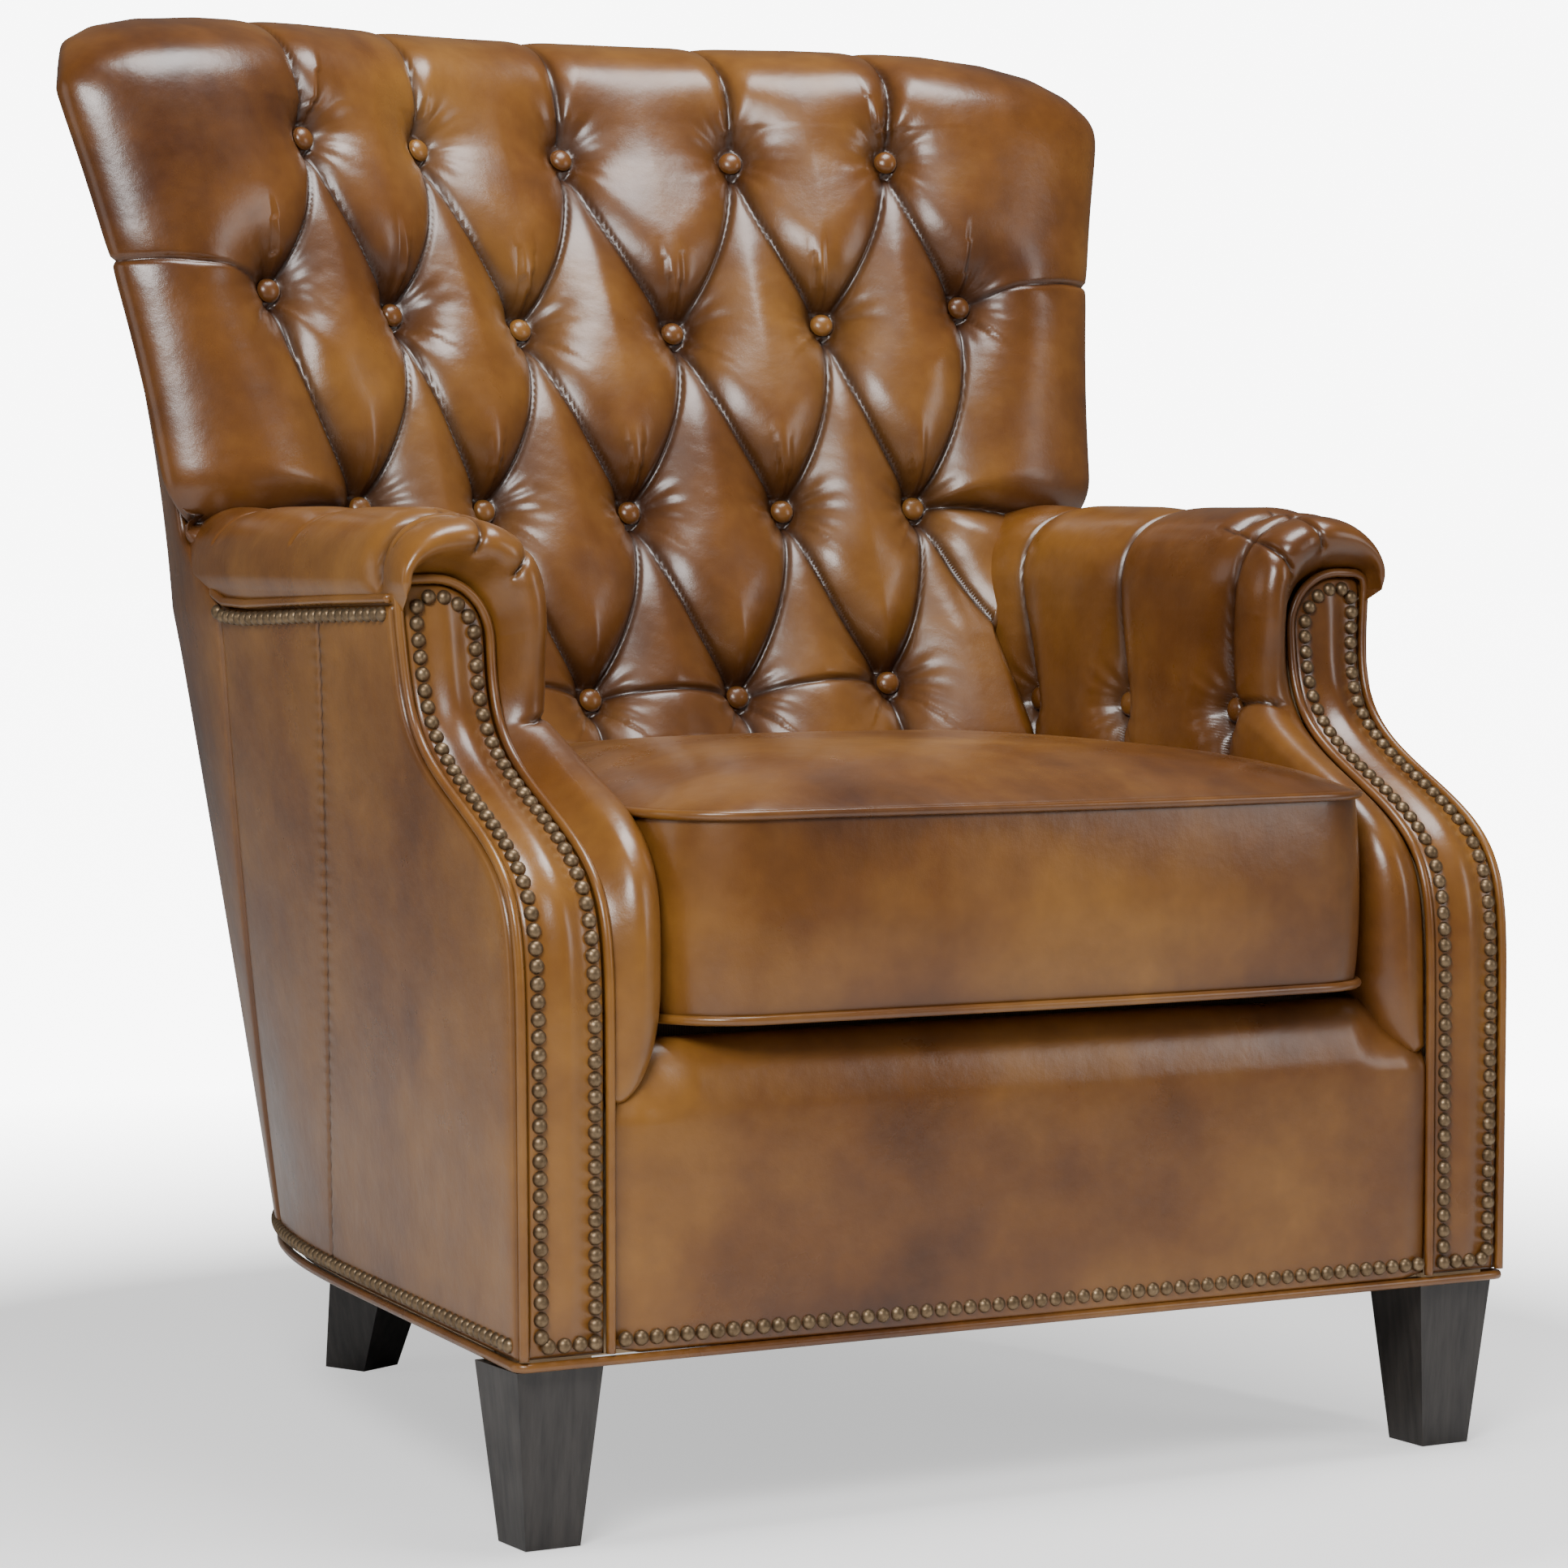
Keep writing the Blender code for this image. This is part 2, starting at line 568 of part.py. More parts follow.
def build_edges():
    """The welts and nail strips of the outside."""
    front_y = BORDER_FRONT - 0.0012
    loop = outside_loop(BASE_WELT_Z, front_y + 0.006, 61)
    base = [(-0.30, front_y), (0.0, front_y), (0.30, front_y), (loop[0][0] - 0.004, front_y)]
    points = [(x, y, BASE_WELT_Z) for x, y in base] + [tuple(p) for p in loop]
    points.append((-base[-1][0], front_y, BASE_WELT_Z))
    cord("base_welt", points, WELT_R, "leather", closed=True)
    nail_z = LEATHER_Z + 0.007
    line = [(x, BORDER_FRONT - NAIL_R - 0.0005, nail_z) for x in (-0.32, 0.0, 0.32)]
    cord("front_border_nails", line, NAIL_R, "nail_brass")
    line = outside_loop(nail_z, arm_front_y(nail_z) + 0.018, 61, -NAIL_R - 0.0005)
    cord("base_nails", line, NAIL_R, "nail_brass")
    for name, side in SIDES:
        y = np.linspace(0.172, 0.452, 15)
        line = [(side * outside_x(v, ARM_SEAM_Z, 0.0005), v, ARM_SEAM_Z) for v in y]
        cord(f"arm_seam_welt_{name}", line, WELT_R, "leather")
        z = ARM_SEAM_Z - 0.0135
        line = [(side * outside_x(v, z, -NAIL_R - 0.0005), v, z) for v in y]
        cord(f"arm_seam_nails_{name}", line, NAIL_R, "nail_brass")
    z = BACK_EDGE_Z - 0.008
    cord("back_edge_nails", outside_loop(z, 0.64, 41, -NAIL_R - 0.0005), NAIL_R, "nail_brass")


# ---------------------------------------------------------------- the loose seat cushion
def cushion_outline(inset):
    """The cushion's plan: a bowed front with round corners, tighter corners at the back."""
    half, (front, rear) = CUSHION_HALF - inset, CUSHION_Y
    front, rear = front + inset, rear - inset
    line = []
    corners = ((1, front, 1, 0.055, -90), (1, rear, -1, 0.018, 0))
    corners += ((-1, rear, -1, 0.018, 90), (-1, front, 1, 0.055, 180))
    for x_way, y_at, y_way, radius, start in corners:
        corner = radius - inset
        for turn in np.radians(start + np.array((0, 22.5, 45, 67.5, 90))):
            x = x_way * (half - corner) + corner * math.cos(turn)
            y = y_at + y_way * corner + corner * math.sin(turn)
            line.append((x, y))
    return [(x, y - (0.008 * (1 - (x / half) ** 2) if y < front + 0.06 else 0.0)) for x, y in line]


def cushion_sheet(name, inset, levels, stuff):
    """A crowned layer of the cushion: levels are (underside's rim, underside's crown, rim, crown)."""
    rings = []
    rim = np.array(cushion_outline(inset))
    centre = np.array((0.0, (CUSHION_Y[0] + CUSHION_Y[1]) / 2))
    for share in (1.0, 0.93, 0.8, 0.6, 0.35):
        rings.append(centre + (rim - centre) * share)
    count = len(rim)
    points, faces = [], []
    for edge, crown in (levels[:2], levels[2:]):
        base = len(points)
        for ring, share in zip(rings, (1.0, 0.93, 0.8, 0.6, 0.35)):
            rise = edge + (crown - edge) * (1 - share**4)
            points += [(x, y, rise) for x, y in ring]
        points.append((*centre, crown))
        for r in range(len(rings) - 1):
            for k in range(count):
                a, b = base + r * count + k, base + r * count + (k + 1) % count
                faces.append((a, b, b + count, a + count))
        last = base + (len(rings) - 1) * count
        faces += [(last + k, last + (k + 1) % count, base + len(rings) * count) for k in range(count)]
    top = len(rings) * count + 1
    faces += [(k, (k + 1) % count, top + (k + 1) % count, top + k) for k in range(count)]
    add(name, closed_mesh(name, points, faces), stuff)


def cushion_band():
    """The upright wall of the cover, a ring between its two welts."""
    low, high = CUSHION_Z[0] + 0.0072, CUSHION_Z[1] - 0.0038
    count = len(cushion_outline(0.0))
    points, faces = [], []
    for inset, z in ((0.0, low), (0.0, high), (CUSHION_WALL, high), (CUSHION_WALL, low)):
        points += [(x, y, z) for x, y in cushion_outline(inset)]
    for ring in range(4):
        for k in range(count):
            a, b = ring * count + k, ring * count + (k + 1) % count
            step = (ring + 1) % 4 * count - ring * count
            faces.append((a, b, b + step, a + step))
    add("cushion_band", closed_mesh("cushion_band", points, faces), "leather")


def build_cushion():
    bottom, welt_top, crown = CUSHION_Z
    cushion_band()
    cushion_sheet("cushion_bottom", 0.0048, (bottom, bottom, bottom + 0.0045, bottom + 0.0045), "leather")
    rim = welt_top + 0.0030
    cushion_sheet("cushion_top", 0.0048, (rim - 0.006, crown - 0.006, rim, crown), "leather")
    low, high = bottom + 0.0055, rim - 0.0075
    cushion_sheet("cushion_core", 0.0050, (low, low, high, crown - 0.0075), "foam")
    for name, z in (("bottom", bottom + 0.0035), ("top", welt_top)):
        line = [(x, y, z) for x, y in cushion_outline(0.0008)]
        cord(f"cushion_welt_{name}", line, 0.0032, "leather", closed=True)
    y, z = CUSHION_Y[1] + 0.0004, (bottom + welt_top) / 2
    block("cushion_zip", (-0.20, y, z - 0.006), (0.20, y + 0.0012, z + 0.006), "bolt_steel")


def centre_on_origin(carrier):
    """Moves the chair so that its footprint is centred on the origin."""
    graph = bpy.context.evaluated_depsgraph_get()
    corners = []
    for piece in carrier.children:
        if not piece.hide_render:
            shape = piece.evaluated_get(graph)
            corners += [shape.matrix_world @ mathutils.Vector(c) for c in shape.bound_box]
    low, high = (pick(c.y for c in corners) for pick in (min, max))
    carrier.location.y = -(low + high) / 2


def main():
    for old in list(bpy.data.objects):
        bpy.data.objects.remove(old)
    carrier = bpy.data.objects.new("armchair", None)
    bpy.context.scene.collection.objects.link(carrier)
    build_legs()
    build_base()
    build_uprights()
    build_springs()
    build_linings()
    build_outside()
    build_panels()
    build_arm_pads()
    build_back()
    build_edges()
    build_cushion()
    centre_on_origin(carrier)


if __name__ == "__main__":
    main()
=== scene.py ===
"""A button-tufted leather armchair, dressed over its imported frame.

The chair faces -Y with its left arm towards +X.  The shapes are worked out with y = 0 at the
feet of the front legs, and moved to the frame's own place as each mesh is made.
"""

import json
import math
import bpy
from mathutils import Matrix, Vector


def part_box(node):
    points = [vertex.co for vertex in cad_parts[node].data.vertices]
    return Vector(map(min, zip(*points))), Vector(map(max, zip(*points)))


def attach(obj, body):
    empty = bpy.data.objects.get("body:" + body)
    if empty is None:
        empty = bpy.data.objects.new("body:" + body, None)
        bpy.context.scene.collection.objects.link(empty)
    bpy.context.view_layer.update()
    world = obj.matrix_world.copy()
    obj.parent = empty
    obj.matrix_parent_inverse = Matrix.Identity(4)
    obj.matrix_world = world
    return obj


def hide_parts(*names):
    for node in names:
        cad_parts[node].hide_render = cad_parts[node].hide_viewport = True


bl_info = {
    "name": "Tufted Leather Armchair",
    "version": (1, 0, 0),
    "blender": (4, 5, 0),
    "location": "3D View > Sidebar > Armchair",
    "description": "Upholsters an armchair frame: tufted back, rolled arms, loose cushion, welts and nails",
    "category": "Object",
}

import bpy
import numpy as np
from bpy.props import FloatProperty, FloatVectorProperty, IntProperty, PointerProperty
from mathutils import Vector

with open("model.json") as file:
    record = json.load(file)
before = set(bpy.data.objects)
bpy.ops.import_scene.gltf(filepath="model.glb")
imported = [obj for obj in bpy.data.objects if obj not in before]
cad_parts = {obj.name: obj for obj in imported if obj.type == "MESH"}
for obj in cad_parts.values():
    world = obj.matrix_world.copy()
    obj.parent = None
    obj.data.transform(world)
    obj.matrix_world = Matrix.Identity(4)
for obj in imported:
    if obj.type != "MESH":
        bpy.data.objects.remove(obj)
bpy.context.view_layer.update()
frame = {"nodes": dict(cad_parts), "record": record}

SIDES = (("left", 1.0), ("right", -1.0))
LEG_TAPER = 0.01125
SHIFT_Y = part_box("front_leg_left")[0].y + LEG_TAPER

LEATHER_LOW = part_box("front_border")[0].z
BORDER_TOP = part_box("front_border")[1].z
BASE_WELT_Z = (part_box("base_welt")[0].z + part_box("base_welt")[1].z) / 2
PANEL_INNER = 0.333
PANEL_TOP = 0.6245
PANEL_CORNER = 0.038
ARM_SEAM_Z = 0.6095
ARM_PAD_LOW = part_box("inside_arm_left")[0].z
BACK_EDGE_Z = 0.984
CUSHION_HALF = 0.281
CUSHION_FRONT, CUSHION_REAR = -0.036, 0.432
CUSHION_LOW, CUSHION_WELT, CUSHION_CROWN = 0.3375, 0.4750, 0.5105
CUSHION_MIDDLE = (CUSHION_FRONT + CUSHION_REAR) / 2
CUSHION_BOTTOM_WELT = CUSHION_LOW + 0.0035
ARM_FOOT = 0.292
ROLL_START, ROLL_EDGE, ROLL_REACH = 0.335, 0.40, 0.398
WELT_GAP = 0.0072
BUTTON_SEAT = 0.0105
BUTTON_LIFT = 0.0022
BUTTON_HEIGHT = 0.0054
NAIL_HEIGHT = 0.0046
FACE_SHARE = 0.8
BACKDROP_GLOW = 8.0
# Half widths across the back, and the height of its crest at each.
CREST = (
    (0.0, 0.22, 0.32, 0.37, 0.405, 0.43, 0.445, 0.455),
    (1.053, 1.053, 1.050, 1.045, 1.037, 1.025, 1.012, 0.994),
)

# Each row of back buttons: its height at the middle, how far it arches and the buttons' places across.
BUTTON_ROWS = (
    (0.963, 0.0, (-0.252, -0.134, 0.0, 0.134, 0.252)),
    (0.828, 0.19, (-0.301, -0.183, -0.065, 0.065, 0.183, 0.301)),
    (0.684, 0.0, (-0.240, -0.127, 0.0, 0.127, 0.240)),
    (0.537, 0.30, (-0.190, -0.065, 0.065, 0.190)),
)
ARM_BUTTON_Y = (0.186, 0.325, 0.452)


# ------------------------------------------------------------------ the chair's main shapes
def smooth(value, low, high):
    """0 below low, 1 above high, and a cubic ease between them."""
    t = np.clip((value - low) / (high - low), 0.0, 1.0)
    return t * t * (3 - 2 * t)


def side_width(z):
    """The outside's half width at the front: widening slowly, then as a square above the arms."""
    flare = np.maximum(0.0, (z - 0.55) / 0.41)
    return 0.3935 + 0.012 * (z - 0.12) + 0.068 * flare**2


def side_taper(z):
    """How much the sides close in for each metre of depth."""
    return np.maximum(0.0, 0.12 - 0.25 * (z - 0.12))


def rear_depth(z):
    """The outside's depth at the middle of the back."""
    return 0.76 + 0.107 * (z - 0.12)


def outside_x(y, z, inset=0.0):
    """Half width of the outside: straight sides, then a cubic superellipse round the back."""
    corner = 0.30
    reach = np.clip((y - corner) / (rear_depth(z) - inset - corner), 0.0, 1.0)
    return (side_width(z) - inset - side_taper(z) * y) * np.cbrt(1 - reach**3)


def outside_loop(z, start_y, count, inset=0.0):
    """Even points from the left side at depth start_y round the back to the right side."""
    steps = np.linspace(0, 1, 500)
    y = start_y + (rear_depth(z) - inset - start_y) * (1 - (1 - steps) ** 3)
    half = np.stack([outside_x(y, z, inset), y], 1)
    whole = np.concatenate([half, half[-2::-1] * (-1, 1)])
    return resample(np.column_stack([whole, np.full(len(whole), z)]), count)


def back_seam_y(z):
    """Depth of the seam where the outside back's leather starts."""
    return np.interp(z, (0.12, 0.605, 0.656, 1.0), (0.557, 0.460, 0.5465, 0.6274))


def arm_front_y(z):
    """The arm's front: an S made by a hyperbolic tangent."""
    return 0.0675 + 0.0875 * np.tanh((z - 0.478) / 0.045)


def arm_front_normal(z):
    """The (y, z) direction square to the arm's front, pointing out of the chair."""
    slope = 0.0875 / 0.045 / np.cosh((z - 0.478) / 0.045) ** 2
    length = np.hypot(1, slope)
    return -1 / length, slope / length


def on_arm_front(x, z, lift=0.0):
    """Points on the arm's front at x and z, lifted square to the surface."""
    x, z = np.broadcast_arrays(np.asarray(x, float), np.asarray(z, float))
    ny, nz = arm_front_normal(z)
    return np.stack([x, arm_front_y(z) + ny * lift, z + nz * lift], -1)


def resample(line, count):
    """The same line with count points, evenly spaced along its length."""
    line = np.asarray(line, float)
    along = np.concatenate([[0], np.cumsum(np.linalg.norm(np.diff(line, axis=0), axis=1))])
    at = np.linspace(0, along[-1], count)
    return np.stack([np.interp(at, along, line[:, k]) for k in range(line.shape[1])], 1)


def spline(points, count):
    """A Catmull-Rom curve through the points: each span is a cubic set by its four neighbours."""
    p = np.asarray(points, float)
    p = np.concatenate([2 * p[:1] - p[1:2], p, 2 * p[-1:] - p[-2:-1]])
    t = np.linspace(0, 1, 24, endpoint=False)[:, None]
    spans = [
        0.5 * (2 * b + (c - a) * t + (2 * a - 5 * b + 4 * c - d) * t**2 + (3 * b - a - 3 * c + d) * t**3)
        for a, b, c, d in zip(p[:-3], p[1:-2], p[2:-1], p[3:])
    ]
    return resample(np.concatenate([*spans, p[-2:-1]]), count)


def wobble(points, scale, seed):
    """Smooth low waves: five sines in seeded directions, for leather that isn't perfectly even."""
    random = np.random.default_rng(seed)
    total = np.zeros(points.shape[:-1])
    for octave in range(5):
        way = random.normal(size=3)
        way *= (0.7 + 0.45 * octave) / scale / np.linalg.norm(way)
        total += np.sin(points @ way + random.uniform(0, 6.28)) / (1 + 0.5 * octave)
    return total / 2.2


# ------------------------------------------------------------------ meshes
def place(points):
    """From the layout's own depth to the frame's."""
    moved = np.array(points, dtype=float)
    moved[..., 1] += SHIFT_Y
    return moved


def put_mesh(name, points, faces, stuff, marks=None):
    """Makes one mesh object from arrays of points and of faces with three or four corners."""
    mesh = bpy.data.meshes.new(name)
    points = place(points).reshape(-1, 3)
    corners = np.concatenate([f.ravel() for f in faces]).astype(np.int32)
    sizes = np.concatenate([np.full(len(f), f.shape[1]) for f in faces])
    starts = np.concatenate([[0], np.cumsum(sizes)[:-1]]).astype(np.int32)
    mesh.vertices.add(len(points))
    mesh.vertices.foreach_set("co", points.astype(np.float32).ravel())
    mesh.loops.add(len(corners))
    mesh.loops.foreach_set("vertex_index", corners)
    mesh.polygons.add(len(sizes))
    mesh.polygons.foreach_set("loop_start", starts)
    mesh.update(calc_edges=True)
    mesh.validate()
    for mark, values in (marks or {}).items():
        full = np.zeros(len(points), np.float32)
        full[: values.size] = values.ravel()
        mesh.attributes.new(mark, "FLOAT", "POINT").data.foreach_set("value", full)
    mesh.shade_smooth()
    piece = bpy.data.objects.new(name, mesh)
    bpy.context.scene.collection.objects.link(piece)
    mesh.materials.append(stuff)
    return piece


def grid_faces(rows, columns, round_columns=False):
    """Four-cornered faces of a grid of points, closed across its columns if asked."""
    index = np.arange(rows * columns).reshape(rows, columns)
    if round_columns:
        index = np.concatenate([index, index[:, :1]], 1)
    quads = np.stack([index[:-1, :-1], index[:-1, 1:], index[1:, 1:], index[1:, :-1]], -1)
    return quads.reshape(-1, 4)


def grid_rim(rows, columns):
    """The points round a grid's edge, in order."""
    index = np.arange(rows * columns).reshape(rows, columns)
    return np.concatenate([index[0], index[1:, -1], index[-1, -2::-1], index[-2:0:-1, 0]])


def fan(rim, tip):
    """Triangles from each edge of a closed ring of points to one more point."""
    return np.stack([rim, np.roll(rim, -1), np.full(len(rim), tip)], 1)


def facing(points, faces, inside):
    """The faces turned so that they look away from a point inside the shape."""
    flat = points.reshape(-1, 3)
    a, b, c = flat[faces[:, 0]], flat[faces[:, 1]], flat[faces[:, 2]]
    normal = np.cross(b - a, c - a)
    outward = ((normal * (a - np.asarray(inside, float))).sum(1)).sum() > 0
    return faces if outward else faces[:, ::-1]


def upholster(name, points, inside, stuff, marks=None):
    """A padded skin on a grid of points, closed behind by a fan from its edge to a point inside."""
    rows, columns = points.shape[:2]
    quads = grid_faces(rows, columns)
    every = np.concatenate([points.reshape(-1, 3), [inside]])
    turned = facing(every, quads, inside)
    behind = fan(grid_rim(rows, columns), rows * columns)
    if turned is quads:
        behind = behind[:, (1, 0, 2)]
    return put_mesh(name, every, [turned, behind], stuff, marks)


def grid_normals(points):
    """Unit normals of a grid of points, from its row and column differences."""
    across = np.gradient(points, axis=1)
    along = np.gradient(points, axis=0)
    normal = np.cross(across, along)
    return normal / np.maximum(np.linalg.norm(normal, axis=-1, keepdims=True), 1e-9)


def tube(name, line, radius, stuff, closed=False, sides=10):
    """A round cord: a circle carried along a line, squarely across it at every point."""
    line = np.asarray(line, float)
    ahead = np.roll(line, -1, 0) - np.roll(line, 1, 0) if closed else np.gradient(line, axis=0)
    ahead /= np.linalg.norm(ahead, axis=1, keepdims=True)
    side = np.cross(ahead, (0.31, 0.17, 0.93))
    side /= np.linalg.norm(side, axis=1, keepdims=True)
    up = np.cross(ahead, side)
    turn = np.linspace(0, 2 * math.pi, sides, endpoint=False)[None, :, None]
    points = line[:, None] + radius * (np.cos(turn) * side[:, None] + np.sin(turn) * up[:, None])
    count = len(line)
    faces = [grid_faces(count, sides, True)]
    first, last = np.arange(sides), np.arange(sides) + (count - 1) * sides
    if closed:
        faces.append(np.stack([last, np.roll(last, -1), np.roll(first, -1), first], 1))
        return put_mesh(name, points, faces, stuff)
    ends = np.concatenate([points.reshape(-1, 3), line[:1], line[-1:]])
    faces += [fan(first, count * sides)[:, (1, 0, 2)], fan(last, count * sides + 1)]
    return put_mesh(name, ends, faces, stuff)


def domes(name, seats, normals, radius, height, stuff, flare=0.0, sides=12, rings=4):
    """Many round heads in one mesh: an ellipse quarter turned about each seat's normal."""
    seats, normals = np.asarray(seats, float), np.asarray(normals, float)
    normals = normals / np.linalg.norm(normals, axis=1, keepdims=True)
    guide = np.where(np.abs(normals[:, 2:3]) > 0.9, (1.0, 0.0, 0.0), (0.0, 0.0, 1.0))
    side = np.cross(normals, guide)
    side /= np.linalg.norm(side, axis=1, keepdims=True)
    up = np.cross(normals, side)
    rise = np.linspace(0, math.pi / 2, rings + 1)[:-1]
    profile = [(radius * 0.80, -height * 0.55), (radius * (1 + flare), -0.05 * height)]
    profile += [(radius * math.cos(a), height * math.sin(a)) for a in rise]
    profile = np.array(profile)
    turn = np.linspace(0, 2 * math.pi, sides, endpoint=False)
    cosine, sine = np.cos(turn)[None, None, :, None], np.sin(turn)[None, None, :, None]
    out = profile[None, :, None, :1] * (cosine * side[:, None, None] + sine * up[:, None, None])
    body = seats[:, None, None] + out + profile[None, :, None, 1:] * normals[:, None, None]
    heads, levels = len(seats), len(profile)
    crowns = seats + normals * height
    bases = seats - normals * height * 0.55
    block = levels * sides
    one = grid_faces(levels, sides, True)
    rim, foot = np.arange(sides) + block - sides, np.arange(sides)
    step = (np.arange(heads) * block)[:, None, None]
    walls = (one[None] + step).reshape(-1, 4)
    crown_ids = np.arange(heads)[:, None] + heads * block
    rim, foot = rim + step[:, 0], foot + step[:, 0]
    top = np.stack(np.broadcast_arrays(rim, np.roll(rim, -1, 1), crown_ids), -1)
    under = np.stack(np.broadcast_arrays(np.roll(foot, -1, 1), foot, crown_ids + heads), -1)
    points = np.concatenate([body.reshape(-1, 3), crowns, bases])
    top, under = top.reshape(-1, 3), under.reshape(-1, 3)
    first = points[walls[: len(one)]]
    outward = np.cross(first[:, 1] - first[:, 0], first[:, 2] - first[:, 0])
    middle = first.mean(1) - seats[0]
    if (outward * middle).sum() < 0:
        walls, top, under = walls[:, ::-1], top[:, ::-1], under[:, ::-1]
    return put_mesh(name, points, [walls, top, under], stuff)


def mirrored(points, side):
    """Points of the left side, or of the right one when side is -1."""
    return points * np.array((side, 1.0, 1.0))


# ------------------------------------------------------------------ tufting
def bowed(start, end, bow, count=14):
    """A pleat's path: a parabola-bowed line between two points, bow being its sideways share."""
    start, end = np.array(start, float), np.array(end, float)
    t = np.linspace(0, 1, count)[:, None]
    span = end - start
    side = np.array((-span[1], span[0]))
    return start + span * t + side * bow * 4 * t * (1 - t)


def tuft(flat, pleats, buttons, dip, dip_width):
    """Depth of the tufting, and how far each point is from a pleat's fold (0 on it, 1 clear of it).

    Each pleat presses the skin in by (1 - d / w) to the power 2.5, d being the distance from its path
    and w its reach, with a narrow Gaussian groove along the path itself.  The pleats are joined by a
    fourth-power norm.  Each button adds a Gaussian dip with a flat seat at its bottom and fine
    gathers fanning out of it.
    """
    total = np.zeros(len(flat))
    line = np.full(len(flat), 1.0)
    for path, depth_start, depth_middle, depth_end, above, below in pleats:
        low, high = path.min(0) - 0.085, path.max(0) + 0.085
        near = np.where(((flat > low) & (flat < high)).all(1))[0]
        if not len(near):
            continue
        p = flat[near]
        a, span = path[:-1], np.diff(path, axis=0)
        along = np.clip(((p[:, None] - a) * span).sum(2) / (span**2).sum(1), 0, 1)
        gap = p[:, None] - (a + along[..., None] * span)
        far = np.hypot(gap[..., 0], gap[..., 1])
        best = far.argmin(1)
        pick = (np.arange(len(p)), best)
        d, t = far[pick], (best + along[pick]) / len(a)
        over = span[best][:, 0] * gap[pick][:, 1] - span[best][:, 1] * gap[pick][:, 0]
        over = over * np.sign(span[best][:, 0] + 1e-6)
        reach = np.where(over > 0, above, below)
        ends = np.where(t < 0.5, depth_start, depth_end)
        depth = depth_middle + (ends - depth_middle) * np.abs(2 * t - 1) ** 1.7
        press = depth * np.clip(1 - d / reach, 0, 1) ** 2.5 + 0.0028 * np.exp(-((d / 0.0020) ** 2))
        total[near] += press**4
        line[near] = np.minimum(line[near], d / np.clip(depth / 0.010, 0.25, 1) / 0.013)
    total = total**0.25
    gathers = np.zeros(len(flat))
    for number, centre in enumerate(buttons):
        gap = flat - centre
        far = np.hypot(gap[:, 0], gap[:, 1])
        near = far < 0.10
        turn = np.arctan2(gap[near, 1], gap[near, 0])
        r = far[near]
        total[near] += dip * np.exp(-((r / dip_width) ** 2))
        seat = total[near]
        ring = np.abs(r - BUTTON_SEAT) < 0.0022
        seat[r < BUTTON_SEAT] = seat[ring].mean() if ring.any() else 0.0
        total[near] = seat
        rays = np.sin(9 * turn + 1.7 * number) * np.sin(4 * turn + number)
        rays = rays + 0.6 * np.sin(15 * turn + 2.9 * number + 40 * r)
        gathers[near] += 0.0006 * rays * np.exp(-(((r - 0.024) / 0.014) ** 2))
        line[near] = np.minimum(line[near], np.maximum(0.0, r - 0.007) / 0.016)
    return total + gathers, np.clip(line, 0, 1)


def back_pleats():
    """The back's pleats and buttons: the diamonds, the top and bottom seams and those to the wings."""
    pleats = []
    rows = [[(x, z + arch * x * x) for x in xs] for z, arch, xs in BUTTON_ROWS]
    buttons = [np.array(spot) for row in rows for spot in row]
    ends = rows[:3] + [rows[3] + [(-0.315, 0.545), (0.315, 0.545)]]
    for number, (upper, lower) in enumerate(zip(ends, ends[1:])):
        for a in upper:
            for b in lower:
                if abs(a[0] - b[0]) < 0.09:
                    bow = -0.075 * math.copysign(1, b[0] - a[0])
                    path = bowed(a, b, bow)
                    deep = 0.034 if abs(b[0]) < 0.3 or number < 2 else 0.022
                    start = 0.024 if number == 0 else 0.034
                    pleats.append((path, start, 0.0135, deep, 0.044, 0.084))
    for x, z in rows[0]:
        path = np.array([(x * (1 + 0.035 * k), z + 0.30 * k / 8) for k in range(9)])
        pleats.append((path, 0.021, 0.0022, 0.0012, 0.026, 0.026))
    for x, z in rows[3]:
        path = np.array([(x, z), (x * 1.01, 0.49), (x * 1.02, 0.42)])
        pleats.append((path, 0.030, 0.020, 0.012, 0.045, 0.045))
    for a, b in zip(ends[3][:3], ends[3][1:4]):
        pleats.append((bowed(a, b, 0.0), 0.026, 0.005, 0.026, 0.030, 0.030))
    wing_seam = np.array(((0.301, 0.845), (0.345, 0.857), (0.39, 0.860), (0.47, 0.856)))
    wing_foot = np.array(((0.240, 0.684), (0.29, 0.680), (0.34, 0.672), (0.42, 0.664)))
    for side in (-1, 1):
        pleats.append((wing_seam * (side, 1), 0.018, 0.0015, 0.0010, 0.024, 0.024))
        pleats.append((wing_foot * (side, 1), 0.030, 0.022, 0.016, 0.040, 0.045))
    return pleats, buttons


def back_face_y(z):
    """The face of the back at its middle: upright low down, then leaning more and more."""
    lean = np.where(z > 0.50, 0.37, 0.10)
    return 0.4806 + lean * (z - 0.50) + 0.4 * np.maximum(0.0, z - 0.70) ** 2


